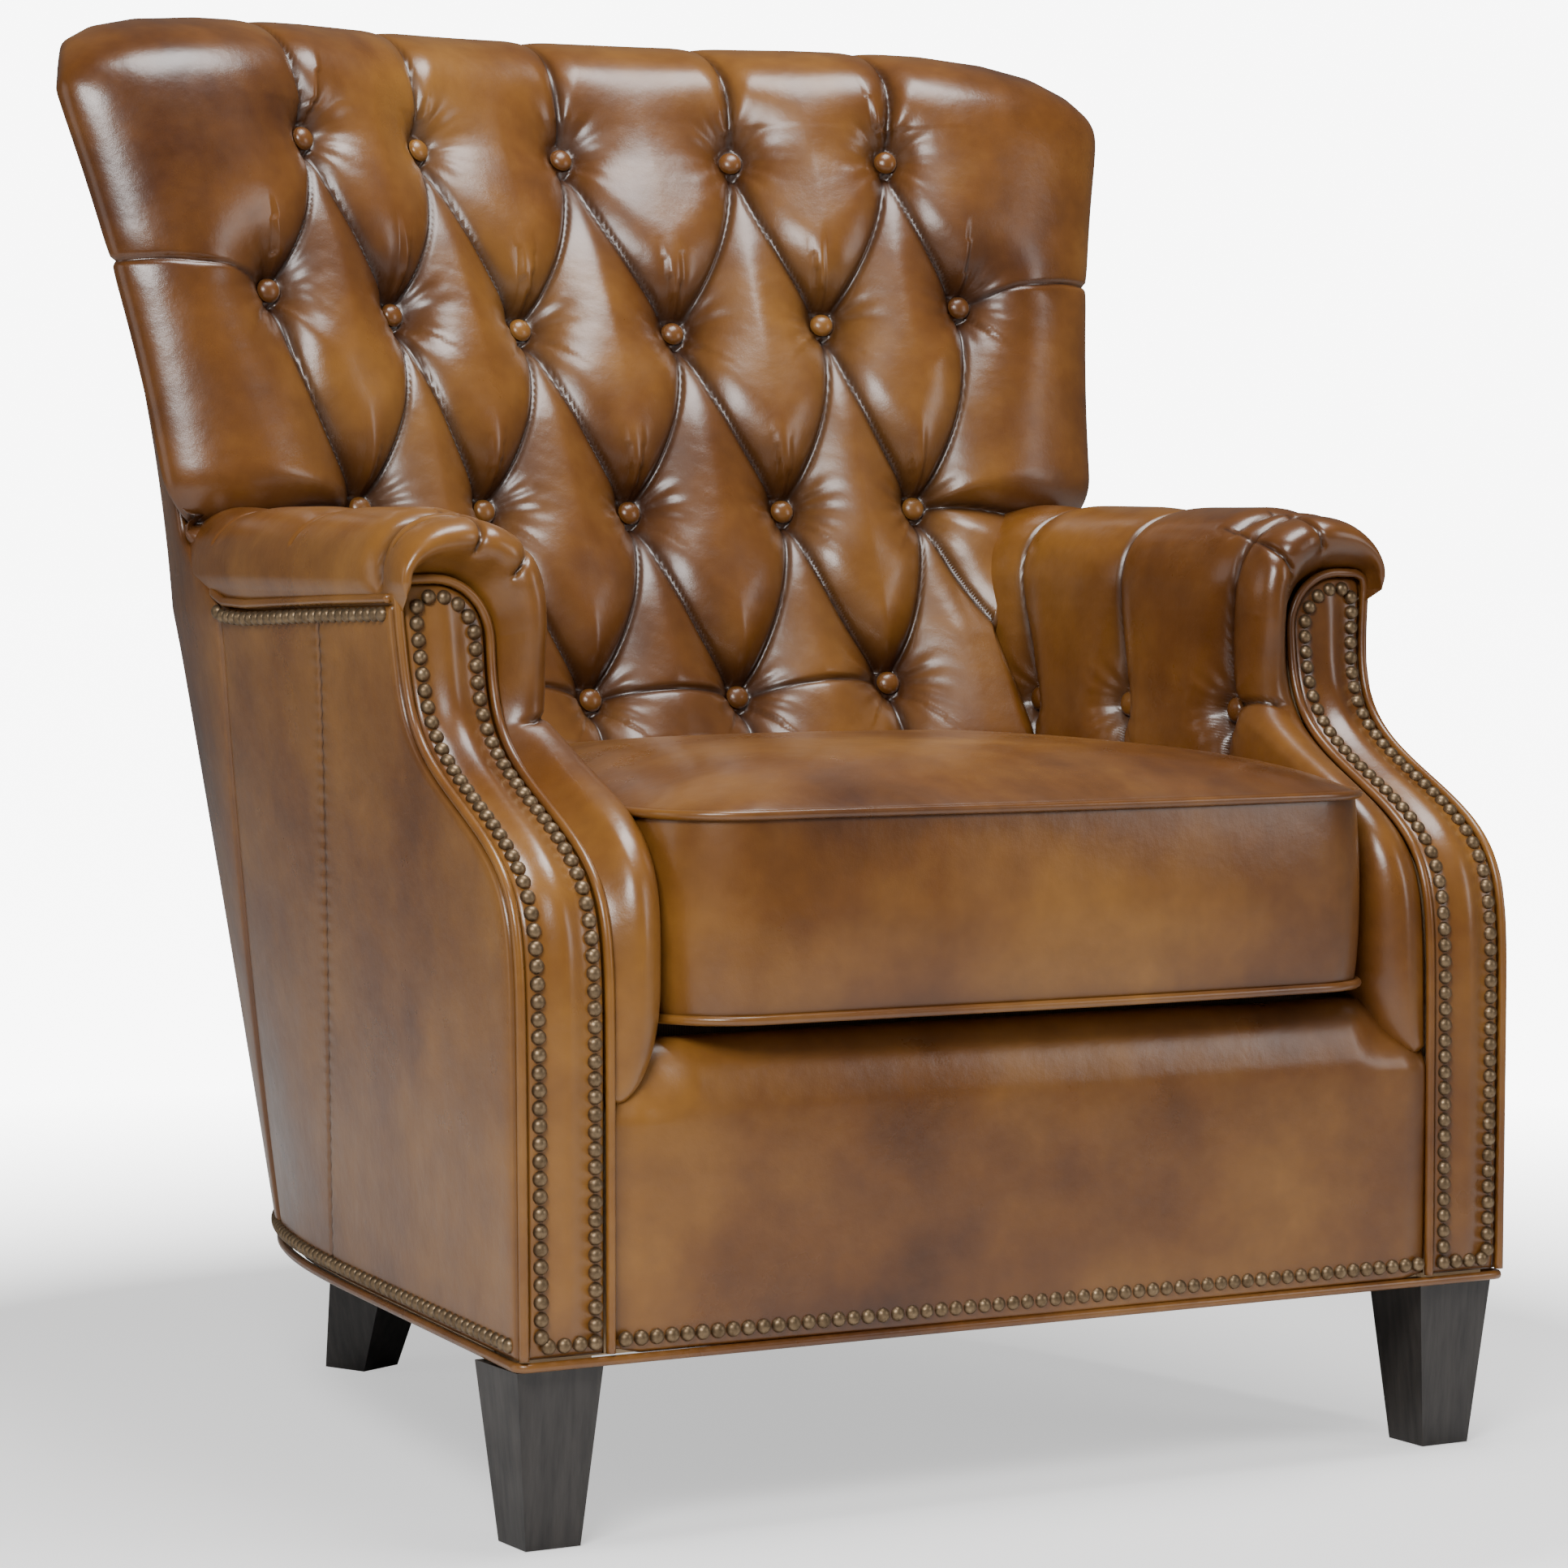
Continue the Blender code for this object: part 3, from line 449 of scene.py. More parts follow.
def back_skin(shares, heights):
    """The back's untufted surface: rows at heights, columns at shares from the left (1) to the right.

    Across, the face hollows by a squared sine out to the wing, and the wing is an ellipse turned
    through 100 degrees whose end tucks in to the outside's seam.  Low down, between the arms, the
    face curves forward as a cube instead.
    """
    s, z = np.meshgrid(shares, heights)
    rise = smooth(z, 0.575, 0.665)
    wing_y = 0.515 + 0.235 * (z - 0.675)
    seam = back_seam_y(np.maximum(z, 0.656)) - 0.001
    edge = outside_x(seam, z)
    past = math.radians(100)
    deep = (seam - wing_y) / (1 - math.cos(past))
    reach = 0.022 + 0.056 * rise
    wing_x = 0.275 + (edge + 0.010 - 0.078 - 0.275) * rise
    share = np.minimum(1.0, np.abs(s) / FACE_SHARE)
    middle = back_face_y(z)
    x = wing_x * share
    high = middle - (middle - wing_y) * np.sin(math.pi / 2 * share) ** 2
    low_edge = np.interp(z, (0.336, 0.50, 0.60, 0.70), (0.430, 0.440, 0.485, 0.53))
    low = middle - (middle - low_edge) * share**3
    y = low + (high - low) * rise
    turn = np.maximum(0.0, (np.abs(s) - FACE_SHARE) / (1 - FACE_SHARE))
    x = x + reach * np.sin(turn * past) - 0.0085 * smooth(turn, 0.82, 1.0) * rise
    y = y + deep * (1 - np.cos(turn * past))
    return np.stack([np.copysign(x, s), y, z], -1)


def back_surface(rows_face, rows_roll, columns):
    """The whole inside back with its roll, and each point's place in the tufting's flat pattern."""
    wing = columns // 7
    half = np.linspace(FACE_SHARE, 0, columns // 2 - wing + 1)[1:]
    half = np.concatenate([np.linspace(1, FACE_SHARE, wing), half])
    shares = np.concatenate([half, -half[-2::-1]])
    top = 0.9845
    face = back_skin(shares, np.linspace(0.425, top, rows_face))
    size = np.abs(shares)
    outer = (1 - size) / (1 - FACE_SHARE) * 4 / 9
    part = np.where(size > FACE_SHARE, outer, 4 / 9 + (FACE_SHARE - size) / FACE_SHARE * 5 / 9)
    loop = outside_loop(top, back_seam_y(top) + 0.002, 401, -0.002)
    at = np.where(shares > 0, part, 2 - part) / 2 * 400
    ends = np.stack([np.interp(at, np.arange(401), loop[:, k]) for k in range(3)], 1)
    turn = (np.arange(1, rows_roll + 1) / rows_roll)[:, None]
    share = (1 - np.cos(math.pi * turn)) / 2
    start = face[-1]
    x = start[:, 0] + (ends[:, 0] - start[:, 0]) * share
    y = start[:, 1] + (ends[:, 1] - start[:, 1]) * share
    span = np.minimum(1.0, np.hypot(*(ends - start)[:, :2].T) / 0.09)
    crest = np.interp(np.abs(x), CREST[0], CREST[1])
    rise = span * (crest - 0.0055 - top)
    z = top + 0.002 * turn + rise * np.sin(math.pi * turn) ** 0.9
    roll = np.stack([x, y, z], -1)
    points = np.concatenate([face, roll])
    row = np.arange(len(points))[:, None, None]
    ease = np.exp(-(((row - rows_face) / (0.045 * len(points))) ** 2))[1:-1]
    for _ in range(280):
        even = (points[:-2] + 2 * points[1:-1] + points[2:]) / 4
        points[1:-1] += ease * (even - points[1:-1])
    step = np.linalg.norm(np.diff(roll, axis=0, prepend=face[-1:]), axis=-1)
    over = top + np.cumsum(step, axis=0)
    flat_z = np.concatenate([face[..., 2], over])
    flat_x = points[..., 0].copy()
    flat_x[rows_face:] = face[-1, :, 0] + (points[rows_face:, :, 0] - face[-1, :, 0]) * 0.35
    return points, np.stack([flat_x, flat_z], -1)


def build_back(stuff, rows, columns):
    """Presses the tufting into the back's surface along its normals."""
    rows_face = int(rows * 0.72)
    points, flat = back_surface(rows_face, rows - rows_face, columns)
    shape = points.shape[:2]
    normal = grid_normals(points)
    if normal[shape[0] // 3, shape[1] // 2, 1] > 0:
        normal = -normal
    pleats, buttons = back_pleats()
    pressed, line = tuft(flat.reshape(-1, 2), pleats, buttons, 0.008, 0.016)
    pressed, line = pressed.reshape(shape), line.reshape(shape)
    rim = 1 - smooth(np.arange(shape[0])[:, None] / shape[0], 0.93, 0.995)
    pressed = pressed * rim
    swell = 0.006 + 0.0025 * wobble(points, 0.11, 4)
    column = np.arange(shape[1])[None] / shape[1]
    ends = np.minimum(smooth(column, 0.0, 0.05), smooth(1 - column, 0.0, 0.05))
    skin = points + normal * (swell * rim * ends - pressed)[..., None]
    # Painted shade: darker where the tufting presses in, and along the pleats' folds and round the buttons.
    marks = {"painted_shade": np.clip(pressed / 0.034, 0, 1), "painted_fold_shade": 1 - line}
    piece = upholster("inside_back_leather", skin, (0.0, 0.72, 0.72), stuff, marks)
    seats, ways = [], []
    for centre in buttons:
        gap = np.hypot(flat[..., 0] - centre[0], flat[..., 1] - centre[1])
        row, column = np.unravel_index(gap.argmin(), shape)
        way = normal[row, column]
        seats.append(skin[row, column] + way * BUTTON_LIFT)
        ways.append(way)
    return piece, np.array(seats), np.array(ways)


# ------------------------------------------------------------------ arms
def arm_section(y, count_up, count_over):
    """The inside arm's section at depths y: up the inner wall, over the roll, down to the seam."""
    wall = np.linspace(ARM_PAD_LOW - 0.0015, 0.60, count_up)
    up = np.stack([0.285 + 0.002 * smooth(wall, 0.45, 0.60), wall], 1)
    knots = [(0.287, 0.60), (0.2885, 0.625), (0.2955, 0.646), (0.3095, 0.6615), (0.331, 0.6710)]
    knots += [(0.354, 0.6735), (0.375, 0.6685), (0.390, 0.656), (0.3975, 0.640)]
    knots += [(0.3985, 0.6235), (ROLL_REACH, 0.6155)]
    over = spline(knots, count_over + 1)[1:]
    base = np.concatenate([up, over])
    outer = outside_x(np.asarray(y, float), ARM_SEAM_Z)[:, None]
    weight = smooth(base[:, 0], ROLL_START, ROLL_EDGE)[None]
    x = base[None, :, 0] + (outer - ROLL_REACH) * weight
    return x, np.broadcast_to(base[:, 1], x.shape)


def arm_core(count_up, count_over):
    """The line the arm's front leather starts from: the panel's welt, up its inner side and over."""
    inner = PANEL_INNER - WELT_GAP
    up = np.stack([np.full(count_up, inner), np.linspace(ARM_FOOT, 0.588, count_up)], 1)
    top = PANEL_TOP + WELT_GAP
    knots = [(inner, 0.588), (inner + 0.003, 0.604), (inner + 0.013, 0.621)]
    knots += [(inner + 0.029, top - 0.0015)]
    knots += [(0.368, top), (0.386, top - 0.0005), (0.3965, top - 0.005), (0.3985, 0.6155)]
    return np.concatenate([up, spline(knots, count_over + 1)[1:]])


def arm_surface(count_up, count_over, count_cap, count_along):
    """The inside arm's surface: a rounded front that grows out of the panel's welt, then the arm.

    Round the front, each point moves from the panel's edge to the arm's section by a sine while it
    moves back by one minus a cosine, and it bulges forward by the sine of twice the angle.
    """
    core = arm_core(count_up, count_over)
    start = arm_front_y(np.minimum(core[:, 1], PANEL_TOP)) + 0.002
    high = smooth(core[:, 1], 0.50, 0.60)
    foot = np.sqrt(1 - (1 - np.clip((core[:, 1] - ARM_FOOT) / 0.058, 0, 1)) ** 2)
    bulge = (0.009 + 0.024 * high) * foot
    length = 0.040 + 0.016 * high
    turn = np.linspace(0, math.pi / 2, count_cap)[:, None]
    near_x, near_z = arm_section(start + length, count_up, count_over)
    upper = smooth(core[:, 1], ARM_FOOT, ARM_FOOT + 0.11)
    near_x = np.diagonal(near_x) + 0.034 * (1 - foot)
    near_z = core[:, 1] + (near_z[0] - core[:, 1]) * upper
    lift = np.sin(turn) ** 0.85
    cap_x = core[:, 0] + (near_x - core[:, 0]) * lift
    cap_z = core[:, 1] + (near_z - core[:, 1]) * lift
    cap_y = start + length * (1 - np.cos(turn)) - bulge * np.sin(np.minimum(turn * 2, math.pi)) ** 0.8
    share = np.linspace(0, 1, count_along + 1)[1:, None]
    rear = 0.575
    run_y = (start + length) + (rear - start - length) * share
    middle = 0.2
    base_x, base_z = arm_section(np.array([middle]), count_up, count_over)
    outer = outside_x(run_y, ARM_SEAM_Z)
    weight = smooth(base_x[0], ROLL_START, ROLL_EDGE)
    run_x = base_x[0] + (outer - outside_x(middle, ARM_SEAM_Z)) * weight
    run_z = np.broadcast_to(base_z[0], run_x.shape)
    cap = np.stack(np.broadcast_arrays(cap_x, cap_y, cap_z), -1)
    body = np.stack([run_x, run_y, run_z], -1)
    return np.concatenate([cap, body])


def arm_pleats():
    """Pleats in (depth, distance up and over the section): up from each button and over the roll."""
    pleats, buttons = [], []
    level = 0.20
    for y, lean in zip(ARM_BUTTON_Y, (-0.012, 0.0, 0.012)):
        climb = ((0.0, level), (0.3, 0.25), (1.0, 0.30), (1.6, 0.36), (2.0, 0.42))
        up = np.array([(y + lean * share, over) for share, over in climb])
        pleats.append((up, 0.027, 0.0085, 0.0, 0.046, 0.046))
        down = np.array([(y, level), (y - 0.004, 0.16), (y - 0.010, 0.10)])
        pleats.append((down, 0.024, 0.014, 0.006, 0.042, 0.042))
        buttons.append(np.array((y, level)))
    first = ARM_BUTTON_Y[0]
    ahead = np.array([(first, level), (first - 0.03, 0.208), (first - 0.06, 0.215), (0.09, 0.222)])
    pleats.append((ahead, 0.024, 0.006, 0.003, 0.034, 0.034))
    cross = np.array([(0.196, 0.345), (0.190, 0.385), (0.182, 0.42), (0.176, 0.455), (0.172, 0.49)])
    pleats.append((cross, 0.0085, 0.0085, 0.0045, 0.026, 0.040))
    for share, reach, lean in ((0.327, 0.058, 0.014), (0.372, 0.052, 0.006)):
        path = np.array([(0.120, share), (0.150, share + lean * 0.3), (0.150 + reach, share + lean)])
        pleats.append((path, 0.0042, 0.0036, 0.0003, 0.020, 0.020))
    return pleats, buttons


def build_arm(name, side, stuff, density):
    """One inside arm, pressed in along its pleats."""
    up, over, cap, along = (int(n * density) for n in (100, 84, 34, 150))
    points = arm_surface(up, over, cap, along)
    shape = points.shape[:2]
    normal = grid_normals(points)
    if normal[shape[0] // 2, up // 2, 0] > 0:
        normal = -normal
    step = np.linalg.norm(np.diff(points[-1], axis=0, prepend=points[-1, :1]), axis=-1)
    section = np.broadcast_to(np.cumsum(step), shape)
    cap_run = np.linalg.norm(np.diff(points[:cap], axis=0, prepend=points[:1]), axis=-1).cumsum(0)
    depth_y = points[..., 1].copy()
    depth_y[:cap] = points[cap - 1, :, 1] - (cap_run[-1] - cap_run)
    flat = np.stack([depth_y, section], -1)
    pleats, buttons = arm_pleats()
    pressed, line = tuft(flat.reshape(-1, 2), pleats, buttons, 0.007, 0.015)
    pressed, line = pressed.reshape(shape), line.reshape(shape)
    swell = 0.004 + 0.0022 * wobble(points * (1, 1, 1.3), 0.09, 11 if side > 0 else 15)
    edge = smooth(np.arange(shape[0])[:, None] / cap, 0.0, 0.30)
    edge = edge * smooth(1 - np.arange(shape[1])[None] / shape[1], 0.0, 0.035)
    skin = points + normal * ((swell - pressed) * edge)[..., None]
    # Painted shade: darker where the pleats press in, along their folds and round the buttons.
    marks = {"painted_shade": np.clip(pressed / 0.03, 0, 1) * edge, "painted_fold_shade": (1 - line) * edge}
    inside = np.array((0.345, 0.34, 0.50))
    inside = mirrored(inside, side)
    piece = upholster(f"inside_arm_{name}_leather", mirrored(skin, side), inside, stuff, marks)
    seats, ways = [], []
    for centre in buttons:
        gap = np.hypot(flat[..., 0] - centre[0], flat[..., 1] - centre[1])
        row, column = np.unravel_index(gap.argmin(), shape)
        seats.append(mirrored(skin[row, column] + normal[row, column] * BUTTON_LIFT, side))
        ways.append(mirrored(normal[row, column], side))
    return piece, seats, ways


# ------------------------------------------------------------------ plainer leather pieces
def slab(name, front, back, inside, stuff, marks=None):
    """A leather layer between two grids of points of the same size, closed round its edge."""
    rows, columns = front.shape[:2]
    count = rows * columns
    points = np.concatenate([front.reshape(-1, 3), back.reshape(-1, 3)])
    quads = grid_faces(rows, columns)
    rim = grid_rim(rows, columns)
    edge = np.stack([rim, rim + count, np.roll(rim, -1) + count, np.roll(rim, -1)], 1)
    faces = np.concatenate([quads, quads[:, ::-1] + count, edge])
    turned = facing(points, quads, inside)
    if turned is not quads:
        faces = faces[:, ::-1]
    return put_mesh(name, points, [faces], stuff, marks)


def pillow(rows, columns, edge=0.06):
    """A grid of heights that is 1 over most of a panel and falls in a quarter circle to its edge."""
    v = np.minimum(np.linspace(0, 1, rows), np.linspace(1, 0, rows)) / edge
    u = np.minimum(np.linspace(0, 1, columns), np.linspace(1, 0, columns)) / edge
    near = np.clip(np.minimum(v[:, None], u[None]), 0, 1)
    return np.sqrt(1 - (1 - near) ** 2)


def panel_outer(z):
    """The arm panel's outer edge, just inside the welt at the side."""
    return outside_x(arm_front_y(z), z, 0.0075)


def panel_outline(inset, count):
    """The panel's edge in (x, z): up the inner side, over a rounded top, down the outer side."""
    inner, top = PANEL_INNER + inset, PANEL_TOP - inset
    low, corner = LEATHER_LOW + max(inset, 0.0), PANEL_CORNER - inset
    turn = np.radians(np.linspace(0, 90, 9))
    arc = np.stack([inner + corner * (1 - np.cos(turn)), top - corner * (1 - np.sin(turn))], 1)
    edge = panel_outer(top) - inset
    shoulder = [(edge - 0.010, top - 0.0003), (edge - 0.003, top - 0.003), (edge - 0.0003, top - 0.010)]
    z = np.linspace(top - 0.016, low, 90)
    outer = np.stack([panel_outer(z) - inset, z], 1)
    wall = np.stack([np.full(60, inner), np.linspace(low, top - corner, 60, endpoint=False)], 1)
    return resample(np.concatenate([wall, arc, shoulder, outer]), count)


def build_panel(name, side, stuff):
    """The S-shaped panel: a pillowed strip whose top follows the rounded outline."""
    rows, columns = 230, 27
    share = np.linspace(0, 1, columns)
    t = np.linspace(0, 1, rows)[:, None]
    width = panel_outer(PANEL_TOP) - PANEL_INNER
    along = share * width
    left = np.clip(1 - along / PANEL_CORNER, 0, 1)
    right = np.clip(1 - (width - along) / 0.010, 0, 1)
    top = PANEL_TOP - PANEL_CORNER * (1 - np.sqrt(1 - left**2)) - 0.010 * (1 - np.sqrt(1 - right**2))
    z = LEATHER_LOW + (top - LEATHER_LOW) * t
    x = PANEL_INNER + (panel_outer(z) - PANEL_INNER) * share
    puff = pillow(rows, columns, 0.10)
    flat = on_arm_front(x, z)
    swell = np.clip((0.5 - np.abs(share - 0.5) - 0.20) / 0.30, 0, 1)
    lift = 0.0040 * puff - 0.002 + 0.0045 * np.sin(math.pi / 2 * swell) ** 2 * puff
    lift = lift + 0.0006 * wobble(flat, 0.05, 21)
    front = on_arm_front(x, z, lift)
    back = on_arm_front(x, z, -0.009)
    # Painted shade: darker towards the panel's edges, where its pillow falls away.
    marks = {"painted_shade": 0.55 * (1 - puff) ** 2}
    inside = (side * 0.36, 0.12, 0.40)
    front, back = mirrored(front, side), mirrored(back, side)
    return slab(f"arm_panel_{name}_leather", front, back, inside, stuff, marks)


def build_border(stuff):
    """The padded front border: a profile swept across, straight in front and rolling over to the seat."""
    knots = [(-0.0165, LEATHER_LOW), (-0.020, LEATHER_LOW + 0.006), (-0.0215, 0.20), (-0.0225, 0.268)]
    knots += [(-0.0205, 0.292), (-0.0130, 0.312), (0.0, BORDER_TOP)]
    knots += [(0.016, BORDER_TOP + 0.0015), (0.036, BORDER_TOP - 0.001)]
    profile = spline(knots, 110)
    edge = PANEL_INNER - 0.0065
    x = np.linspace(-edge, edge, 300)
    front = np.stack(np.broadcast_arrays(x[None], profile[:, :1], profile[:, 1:]), -1).copy()
    front[..., 1] += 0.011 * smooth(np.abs(x), 0.262, 0.298) * smooth(profile[:, 1:], 0.276, 0.310)
    normal = grid_normals(front)
    if normal[20, 100, 1] > 0:
        normal = -normal
    ends = smooth(edge - np.abs(x), 0.0, 0.022)[None]
    lift = 0.0040 * ends - 0.002 + 0.0014 * wobble(front, 0.13, 31) + 0.0004 * wobble(front, 0.035, 32)
    front += normal * lift[..., None]
    back = front - normal * 0.006
    back[..., 1] = np.minimum(back[..., 1], 0.040)
    # Painted shade: darker towards the border's ends beside the arm panels.
    marks = {"painted_shade": 0.5 * (1 - ends) ** 2 + np.zeros(front.shape[:2])}
    return slab("front_border_leather", front, back, (0.0, 0.03, 0.22), stuff, marks)


def arm_seam_z(y):
    """Height of the seam under the arm's roll: it sags towards the middle and curls up at the wing."""
    depths = (0.15, 0.265, 0.334, 0.406, 0.45, 0.475, 0.50)
    return np.interp(y, depths, (0.6155, 0.6125, 0.6100, 0.6075, 0.6085, 0.6150, 0.6260))


def build_outside(side, name, stuff):
    """The outside of one arm: the chair's own surface, slightly pillowed, with a sewn seam down it."""
    rows, columns = 170, 200
    t = np.linspace(0, 1, rows)[:, None]
    s = np.linspace(0, 1, columns)[None]
    rough_z = LEATHER_LOW + (ARM_SEAM_Z - LEATHER_LOW) * t
    start, end = arm_front_y(rough_z) + 0.004, back_seam_y(rough_z)
    y = start + (end - start) * s
    z = LEATHER_LOW + (arm_seam_z(y) - 0.005 - LEATHER_LOW) * t
    y = arm_front_y(z) + 0.004 + (back_seam_y(z) - arm_front_y(z) - 0.004) * s
    seam = 0.372 - 0.095 * (z - 0.12) / 0.49 - 0.010 * np.sin(math.pi * (z - 0.12) / 0.49)
    gap = y - seam
    flat = np.stack([outside_x(y, z), y, z], -1)
    puff = pillow(rows, columns, 0.03)
    groove = np.exp(-((gap / 0.0022) ** 2))
    pucker = 0.0004 * np.sin(z * 620) * np.exp(-((gap / 0.009) ** 2))
    lift = 0.0022 * puff - 0.0010 - 0.0016 * groove + pucker + 0.0012 * wobble(flat, 0.16, 41)
    outer = flat.copy()
    outer[..., 0] += lift
    inner = flat - (0.006, 0, 0)
    # Painted shade: darker towards the edges and beside the sewn seam, with a dark line in the seam's groove.
    marks = {"painted_shade": 0.45 * (1 - puff) ** 2 + 0.35 * np.exp(-((gap / 0.010) ** 2)), "painted_fold_shade": groove}
    inside = (side * 0.30, 0.25, 0.36)
    outer, inner = mirrored(outer, side), mirrored(inner, side)
    return slab(f"outside_arm_{name}_leather", outer, inner, inside, stuff, marks)


def build_outside_back(stuff):
    """The outside back, one sheet from side to side with a seam down each flank."""
    rows, columns = 150, 300
    heights = np.linspace(LEATHER_LOW, BACK_EDGE_Z + 0.004, rows)
    flat = np.stack([outside_loop(z, back_seam_y(z) + 0.0005, columns) for z in heights])
    plan = np.gradient(flat, axis=1)
    out = np.stack([plan[..., 1], -plan[..., 0], np.zeros(flat.shape[:2])], -1)
    out /= np.linalg.norm(out, axis=-1, keepdims=True)
    if out[rows // 2, columns // 2, 1] < 0:
        out = -out
    puff = pillow(rows, columns, 0.022)
    lift = 0.0022 * puff - 0.0010 + 0.0016 * wobble(flat, 0.2, 51)
    # Painted shade: darker towards the edges.
    marks = {"painted_shade": 0.45 * (1 - puff) ** 2}
    outer, inner = flat + out * lift[..., None], flat - out * 0.006
    return slab("outside_back_leather", outer, inner, (0.0, 0.55, 0.5), stuff, marks)


# ------------------------------------------------------------------ the seat cushion
def cushion_plan(count):
    """The cushion's outline: a rectangle with round corners and a front that bows forward."""
    corners = ((1, CUSHION_FRONT, 1, 0.058, -90), (1, CUSHION_REAR, -1, 0.020, 0))
    corners += ((-1, CUSHION_REAR, -1, 0.020, 90), (-1, CUSHION_FRONT, 1, 0.058, 180))
    line = []
    for way, y, y_way, radius, start in corners:
        turn = np.radians(start + np.linspace(0, 90, 13))
        x = way * (CUSHION_HALF - radius) + radius * np.cos(turn)
        line.append(np.stack([x, y + y_way * radius + radius * np.sin(turn)], 1))
    line = np.concatenate(line)
    line = np.concatenate([line, line[:1]])
    even = resample(line, count + 1)[:-1]
    bow = 0.006 * (1 - (even[:, 0] / CUSHION_HALF) ** 2) * smooth(-even[:, 1], -0.05, 0.015)
    even[:, 1] -= bow
    return even


def cushion_shape(around, band_rows, top_rows):
    """The cushion: rings from the middle of its underside out, up its wall, and in over its crown.

    The crown rises as (1 - s to the power 3.6) to the power 0.85, s being the share of the way out,
    and the wall swells as a sine between the two welts and pulls in a little at the corners.
    """
    plan = cushion_plan(around)
    centre = np.array((0.0, CUSHION_MIDDLE))
    out = plan - centre
    way = out / np.linalg.norm(out, axis=1, keepdims=True)
    rings = []
    for share in np.linspace(0.06, 0.99, top_rows // 2):
        low = CUSHION_BOTTOM_WELT - 0.0015 * (1 - share**6)
        rings.append(np.column_stack([centre + out * share, np.full(around, low)]))
    corner = smooth(np.abs(plan[:, 0]) / CUSHION_HALF + np.abs(out[:, 1]) / 0.23, 1.62, 1.95)
    for t in np.linspace(0, 1, band_rows):
        swell = 0.0062 * np.sin(math.pi * t) ** 0.7 * (1 - 0.55 * corner)
        z = CUSHION_BOTTOM_WELT + (CUSHION_WELT - CUSHION_BOTTOM_WELT) * t
        rings.append(np.column_stack([plan + way * (swell[:, None] - 0.002), np.full(around, z)]))
    for share in np.linspace(0.99, 0.03, top_rows):
        high = CUSHION_WELT + (CUSHION_CROWN - CUSHION_WELT) * (1 - share**3.6) ** 0.85
        rings.append(np.column_stack([centre + out * share, np.full(around, high)]))
    return np.array(rings), centre


def build_cushion(stuff, band_rows=34, top_rows=70, around=220):
    """The cushion's cover, inflated a little by cloth held at its two welts, then capped."""
    rings, centre = cushion_shape(around, band_rows, top_rows)
    rows = len(rings)
    low = (*centre, CUSHION_LOW + 0.0020)
    high = (*centre, CUSHION_CROWN)
    points = np.concatenate([rings.reshape(-1, 3), [low], [high]])
    quads = grid_faces(rows, around, True)
    inside = (0.0, centre[1], (CUSHION_LOW + CUSHION_WELT) / 2)
    turned = facing(points, quads, inside)
    ring = np.arange(around)
    first = fan(ring, rows * around)[:, (1, 0, 2)]
    final = fan((rows - 1) * around + ring, rows * around + 1)
    if turned is not quads:
        first, final = first[:, ::-1], final[:, ::-1]
    band = top_rows // 2
    level = np.repeat(np.arange(rows), around)
    to_welt = np.minimum(np.abs(level - band), np.abs(level - (band + band_rows - 1)))
    # Painted shade: darker next to the two welts.
    painted_shade = np.concatenate([0.55 * np.exp(-to_welt / 1.6), [0, 0]])
    ripple = np.concatenate([0.0012 * wobble(rings.reshape(-1, 3), 0.10, 61), [0, 0]])
    ripple *= 1 - np.exp(-np.concatenate([to_welt, [9, 9]]) / 4.0)
    away = points - np.array(inside)
    away /= np.linalg.norm(away, axis=1, keepdims=True)
    points = points + away * ripple[:, None]
    piece = put_mesh("seat_cushion_leather", points, [turned, first, final], stuff, {"painted_shade": painted_shade})
    inflate(piece, np.concatenate([to_welt <= 1, [False, False]]), 0.006)
    return piece


def build_zip(tape_stuff, tooth_stuff):
    """The zip along the cushion's back: a flat tape with a row of small teeth and a puller."""
    z = (CUSHION_LOW + CUSHION_WELT) / 2
    x = np.linspace(-0.20, 0.20, 81)
    t = np.linspace(-1, 1, 9)
    out = CUSHION_REAR + 0.0125
    across, up = np.meshgrid(x, t)
    face = np.stack([across, out - 0.0012 * up**4, z + 0.0085 * up], -1)
    tape = slab("cushion_zip_tape", face, face - (0.0, 0.012, 0.0), (0.0, out - 0.006, z), tape_stuff)
    count = 131
    teeth = np.stack([np.linspace(-0.196, 0.196, count), np.full(count, out), np.full(count, z)], 1)
    ways = np.tile((0.0, 1.0, 0.0), (count, 1))
    chain = domes("cushion_zip_teeth", teeth, ways, 0.0014, 0.0010, tooth_stuff, 0.0, 8, 2)
    path = [(0.192, out + 0.002, z), (0.186, out + 0.003, z - 0.007), (0.190, out + 0.003, z - 0.020)]
    pull = tube("cushion_zip_pull", path, 0.0016, tooth_stuff)
    return tape, chain, pull


